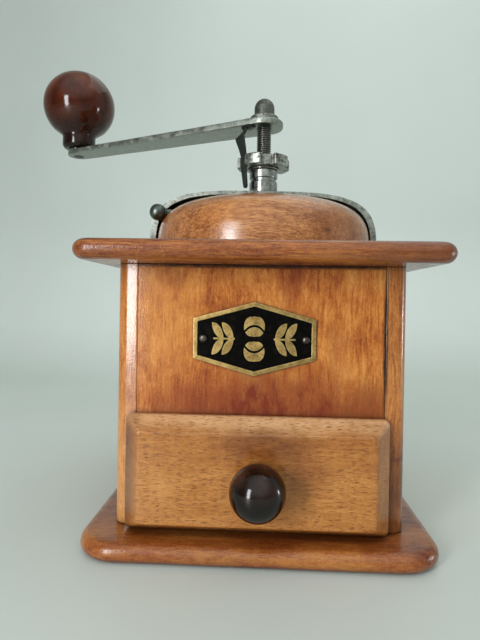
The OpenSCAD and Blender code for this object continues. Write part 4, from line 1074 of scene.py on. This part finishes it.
PITCH = 1.25
THREAD_DEPTH = 0.54 * PITCH
THREAD_ROWS = 10
SPINDLE_COLUMNS = 40
ARM_HUB_R = 10.6
ARM_END_R = 7.1
ARM_EDGE = 0.75
CATCH_GROWN = (1, 1.3, 1)
CATCH_FLARE = (nut.z1 + 0.6, 4, 0.3)
CRANK_NODES = ("spindle", "crank_arm", "crank_boss", "cap_nut", "knob_pin")
spindle, arm, collar, cap, pin = (box(node) for node in CRANK_NODES)


def spindle_shape():
    """Plain shaft below and a right-hand thread above, as rings from its foot up. Each turn has a
    flat crest, a slope, a flat root and a slope."""
    start = sleeve.z1
    rows = round((spindle.z1 - 0.6 - start) / PITCH * THREAD_ROWS)
    levels = [(0.8, spindle.z0, False), (0, spindle.z0 + 0.8, False), (0, start, False)]
    levels += [(0, start + 0.01 + k * PITCH / THREAD_ROWS, True) for k in range(rows)]
    levels += [(0.1, spindle.z1 - 0.5, False), (0.7, spindle.z1, False)]
    rings = []
    for inset, z, threaded in levels:
        rings.append([])
        for i in range(SPINDLE_COLUMNS):
            a = 2 * pi * i / SPINDLE_COLUMNS
            share = ((z - start) / PITCH - i / SPINDLE_COLUMNS) % 1
            crest = min(1, max(0, (abs(share - 0.5) - 0.08) / 0.32))
            r = SPINDLE_R - (THREAD_DEPTH * (1 - crest) if threaded else inset)
            rings[-1].append((r * cos(a), r * sin(a), z))
    return stack(rings)


def arm_ring(margin, z):
    """Outline of the arm drawn in by a margin: two round ends with straight sides between."""
    hub, end = ARM_HUB_R - margin, ARM_END_R - margin
    slope = asin((ARM_HUB_R - ARM_END_R) / CRANK_L)
    turns = spread(QUARTER - slope, 3 * QUARTER + slope, 32)
    root = [Vector((hub * cos(a), hub * sin(a))) for a in turns]
    turns = spread(slope - QUARTER, QUARTER - slope, 24)
    tip = [Vector((CRANK_L + end * cos(a), end * sin(a))) for a in turns]
    side = spread(0, 1, 24)[1:-1]
    below = [root[-1].lerp(tip[0], s) for s in side]
    above = [tip[-1].lerp(root[0], s) for s in side]
    return [(*p, z) for p in (*root, *below, *tip, *above)]


piece("spindle_threaded", spindle_shape(), THREAD_STEEL, "crank", "spindle")
arm_levels = edged(arm.z0, arm.z1, ARM_EDGE, ARM_EDGE)
shape = moved(stack([arm_ring(margin, z) for margin, z in arm_levels]), spun(CRANK_ANGLE))
piece("crank_arm_forged", shape, ARM_STEEL, "crank", "crank_arm", uneven=0.16)

collar_outline = [
    (SPINDLE_R, collar.z0, 0), (collar.half, collar.z0, 0.3),
    (collar.half, collar.z0 + collar.rise * 0.8, 1.1), (cap.half + 0.7, collar.z1, 0.5),
    (SPINDLE_R, collar.z1, 0),
]
ring("crank_boss", collar_outline, BOSS_STEEL, "crank", "arm_steel", uneven=0.3)
cap_low_z = cap.z1 - cap.half
cap_profile = [
    (0, cap.z0), (cap.half - 0.3, cap.z0), (cap.half, cap.z0 + 0.3), (cap.half, cap_low_z - 0.4),
    (cap.half - 0.12, cap_low_z - 0.1),
    *((r, cap_low_z + z) for r, z in ball_arc(cap.half - 0.05, cap.half, 4, 90, 22)),
]
piece("cap_nut_domed", turned(cap_profile), DARK_STEEL, "crank", "cap_nut")

strip = {"slot": "dark_steel", "edge": 0.18, "grown": CATCH_GROWN, "turn": CATCH_ANGLE}
dressed("catch_foot", CATCH_STEEL, "crank", **strip)
dressed("nut_catch", CATCH_STEEL, "catch", **strip, flare=CATCH_FLARE)
dressed("catch_rivet", DARK_STEEL, "crank", "dark_steel", edge=0.12)


# ---- grip

GRIP_R = 23.3
GRIP_HALF_H = 22.6
GRIP_UP = 29.3
GRIP_NECK_R = 10.7
GRIP_FOOT_ROUND = 3
GRIP_BORE_R = 3.06
GRIP_SINK = 8
GRIP_SINK_R = 5.6
PIN_R = 3
PIN_HEAD_R = 5
at_grip = at(pin_x, pin_y, 0)


def grip_profile():
    """Half section of the grip: a round-footed neck, a soft throat, an oval ball and the pin's sink."""
    centre = grip.z0 + GRIP_UP
    throat_z = centre - GRIP_HALF_H * sqrt(1 - (GRIP_NECK_R / GRIP_R) ** 2)
    crown_z = centre + GRIP_HALF_H * sqrt(1 - (GRIP_SINK_R / GRIP_R) ** 2)
    seat_z = centre + GRIP_HALF_H - GRIP_SINK
    corners = [
        (GRIP_BORE_R, grip.z0, 0.3), (GRIP_NECK_R, grip.z0, GRIP_FOOT_ROUND),
        (GRIP_NECK_R, throat_z, 3.2),
        *((r, centre + z, 0) for r, z in ball_arc(GRIP_R, GRIP_HALF_H, -45, 74, 44)),
        (GRIP_SINK_R, crown_z, 0.8), (GRIP_SINK_R, seat_z, 0), (GRIP_BORE_R, seat_z, 0),
    ]
    return outline(corners)


shape = moved(turned(grip_profile(), closed=True), at_grip)
piece("crank_grip", shape, GRIP_FINISH, "grip", "crank_knob")

head_z = pin.z1 - 2.4
pin_outline = [
    (0, arm.z0 - 0.25, 0), (PIN_R + 0.2, arm.z0 - 0.25, 0.8), (PIN_R + 0.9, arm.z0 + 0.9, 0),
    (PIN_R, arm.z0 + 1.6, 0), (PIN_R, head_z, 0), (PIN_HEAD_R, head_z, 0.3),
    (PIN_HEAD_R, head_z + 0.8, 1.0), (2.6, pin.z1, 1.5), (0, pin.z1, 0),
]
shape = moved(turned(outline(pin_outline, steps=4), steps=48), at_grip)
piece("knob_pin_riveted", shape, CATCH_STEEL, "crank", "knob_pin")
dressed("knob_washer", BRIGHT_STEEL, "crank", "bright_steel", edge=0.15)


# ---- CAD nodes that keep their shape

CARRIED = (
    (PLATE_ENAMEL, "nameplate_field"), (BRIGHT_STEEL, "lid_bracket"), (MILL_IRON, "mill_body mill_bridge"),
    (SCREW_STEEL, "lid_bracket_screws mill_screws cone_pin bridge_screws"),
    (BURR_STEEL, "burr_ring burr_cone"), (BUSH_BRASS, "lower_bush"),
)
for material, nodes in CARRIED:
    for node in nodes.split():
        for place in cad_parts[node].material_slots:
            place.material = material


# ---- floor, wall, light and camera

WALL_AWAY = 640
FLOOR_HALF = 2500
COVE = 260
# The way from which the room is brightest, and the way to the glow of its ceiling
ROOM_LEAN = (0.4, 1, 0)
CEILING_WAY = Vector((0.07, -0.67, 0.74)).normalized()
CEILING_GLOW = 1.3


def backdrop():
    """A pale table top that turns up into a pale wall behind it."""
    start = WALL_AWAY - COVE
    turns = spread(0, QUARTER, 12)[1:]
    profile = [(-FLOOR_HALF, 0), (start, 0)]
    profile += [(start + COVE * sin(a), COVE - COVE * cos(a)) for a in turns]
    profile.append((WALL_AWAY, FLOOR_HALF))
    points = [(x, y, z - 0.05) for y, z in profile for x in (-FLOOR_HALF, FLOOR_HALF)]
    faces = [(2 * i, 2 * i + 1, 2 * i + 3, 2 * i + 2) for i in range(len(profile) - 1)]
    mesh = bpy.data.meshes.new("backdrop")
    mesh.from_pydata([Vector(p) * MM for p in points], [], faces)
    mesh.shade_smooth()
    g = paint("backdrop_paint")
    shade = g.mix((191, 199, 193), (212, 219, 215), g.remap(g.axis("Z"), -20, 60))
    # darker towards the left: a painted shade
    shade = g.mix(shade, (178, 186, 180), g.remap(g.axis("X"), -60, -450, 0, 0.5))
    shade = g.mix(shade, (255, 255, 255), g.remap(g.noise(160), *SPAN, 0, 0.06))
    mesh.materials.append(g.finish(Base_Color=shade, Roughness=0.45, Specular_IOR_Level=0.4))
    linked("backdrop", mesh)


def area_light(name, place, aim, width, height, radiance, tint):
    """A soft rectangular light at a place, turned to another."""
    data = bpy.data.lights.new(name, "AREA")
    data.shape = "RECTANGLE"
    data.size = width * MM
    data.size_y = height * MM
    data.energy = radiance * pi * data.size * data.size_y
    data.color = colour(tint)[:3]
    obj = linked(name, data)
    obj.location = Vector(place) * MM
    obj.rotation_euler = (Vector(aim) - Vector(place)).to_track_quat("-Z", "Y").to_euler()


def camera():
    """The photograph's camera: its place, the way it looks and where its axis meets the picture."""
    focal_px, picture_h, axis_v = 500, 640, 303.78
    yaw, pitch, roll = -2.623, -0.332, 0.944
    place = Vector((0.9, -283, 108.67)) * MM
    data = bpy.data.cameras.new("camera")
    data.lens = focal_px / picture_h * data.sensor_width
    data.shift_y = (axis_v - picture_h / 2) / picture_h
    data.clip_start = 0.01
    obj = linked("camera", data)
    obj.matrix_world = Matrix.Translation(place) @ spun(-yaw) @ spun(90 + pitch, "X") @ spun(roll)
    bpy.context.scene.camera = obj


def room():
    """Soft light from all round, brightest from behind and the right, with a glow above the front."""
    world = bpy.data.worlds.new("room")
    g = Graph(world, "Background", "Generated", 1)
    parts = []
    for way, *span in ((ROOM_LEAN, -0.9, 0.8, 0.15, 0.8), (CEILING_WAY, 0.55, 1, 0, CEILING_GLOW)):
        lean = g.vector("DOT_PRODUCT", g.place, way, output="Value")
        parts.append(g.remap(lean, *span, interpolation_type="SMOOTHSTEP"))
    g.finish(Color=colour((226, 233, 230)), Strength=g.math("ADD", *parts))
    bpy.context.scene.world = world


backdrop()
area_light("window", (-388, -630, 210), (0, 0, 120), 150, 400, 21, (250, 252, 255))
area_light("side_window", (707, -40, 74), (0, 0, 120), 56, 110, 24, (250, 250, 255))
area_light("back_fill", (260, 330, 900), (160, 260, 0), 1100, 500, 0.85, (246, 252, 250))
camera()
room()
bpy.context.scene.view_settings.view_transform = "Standard"
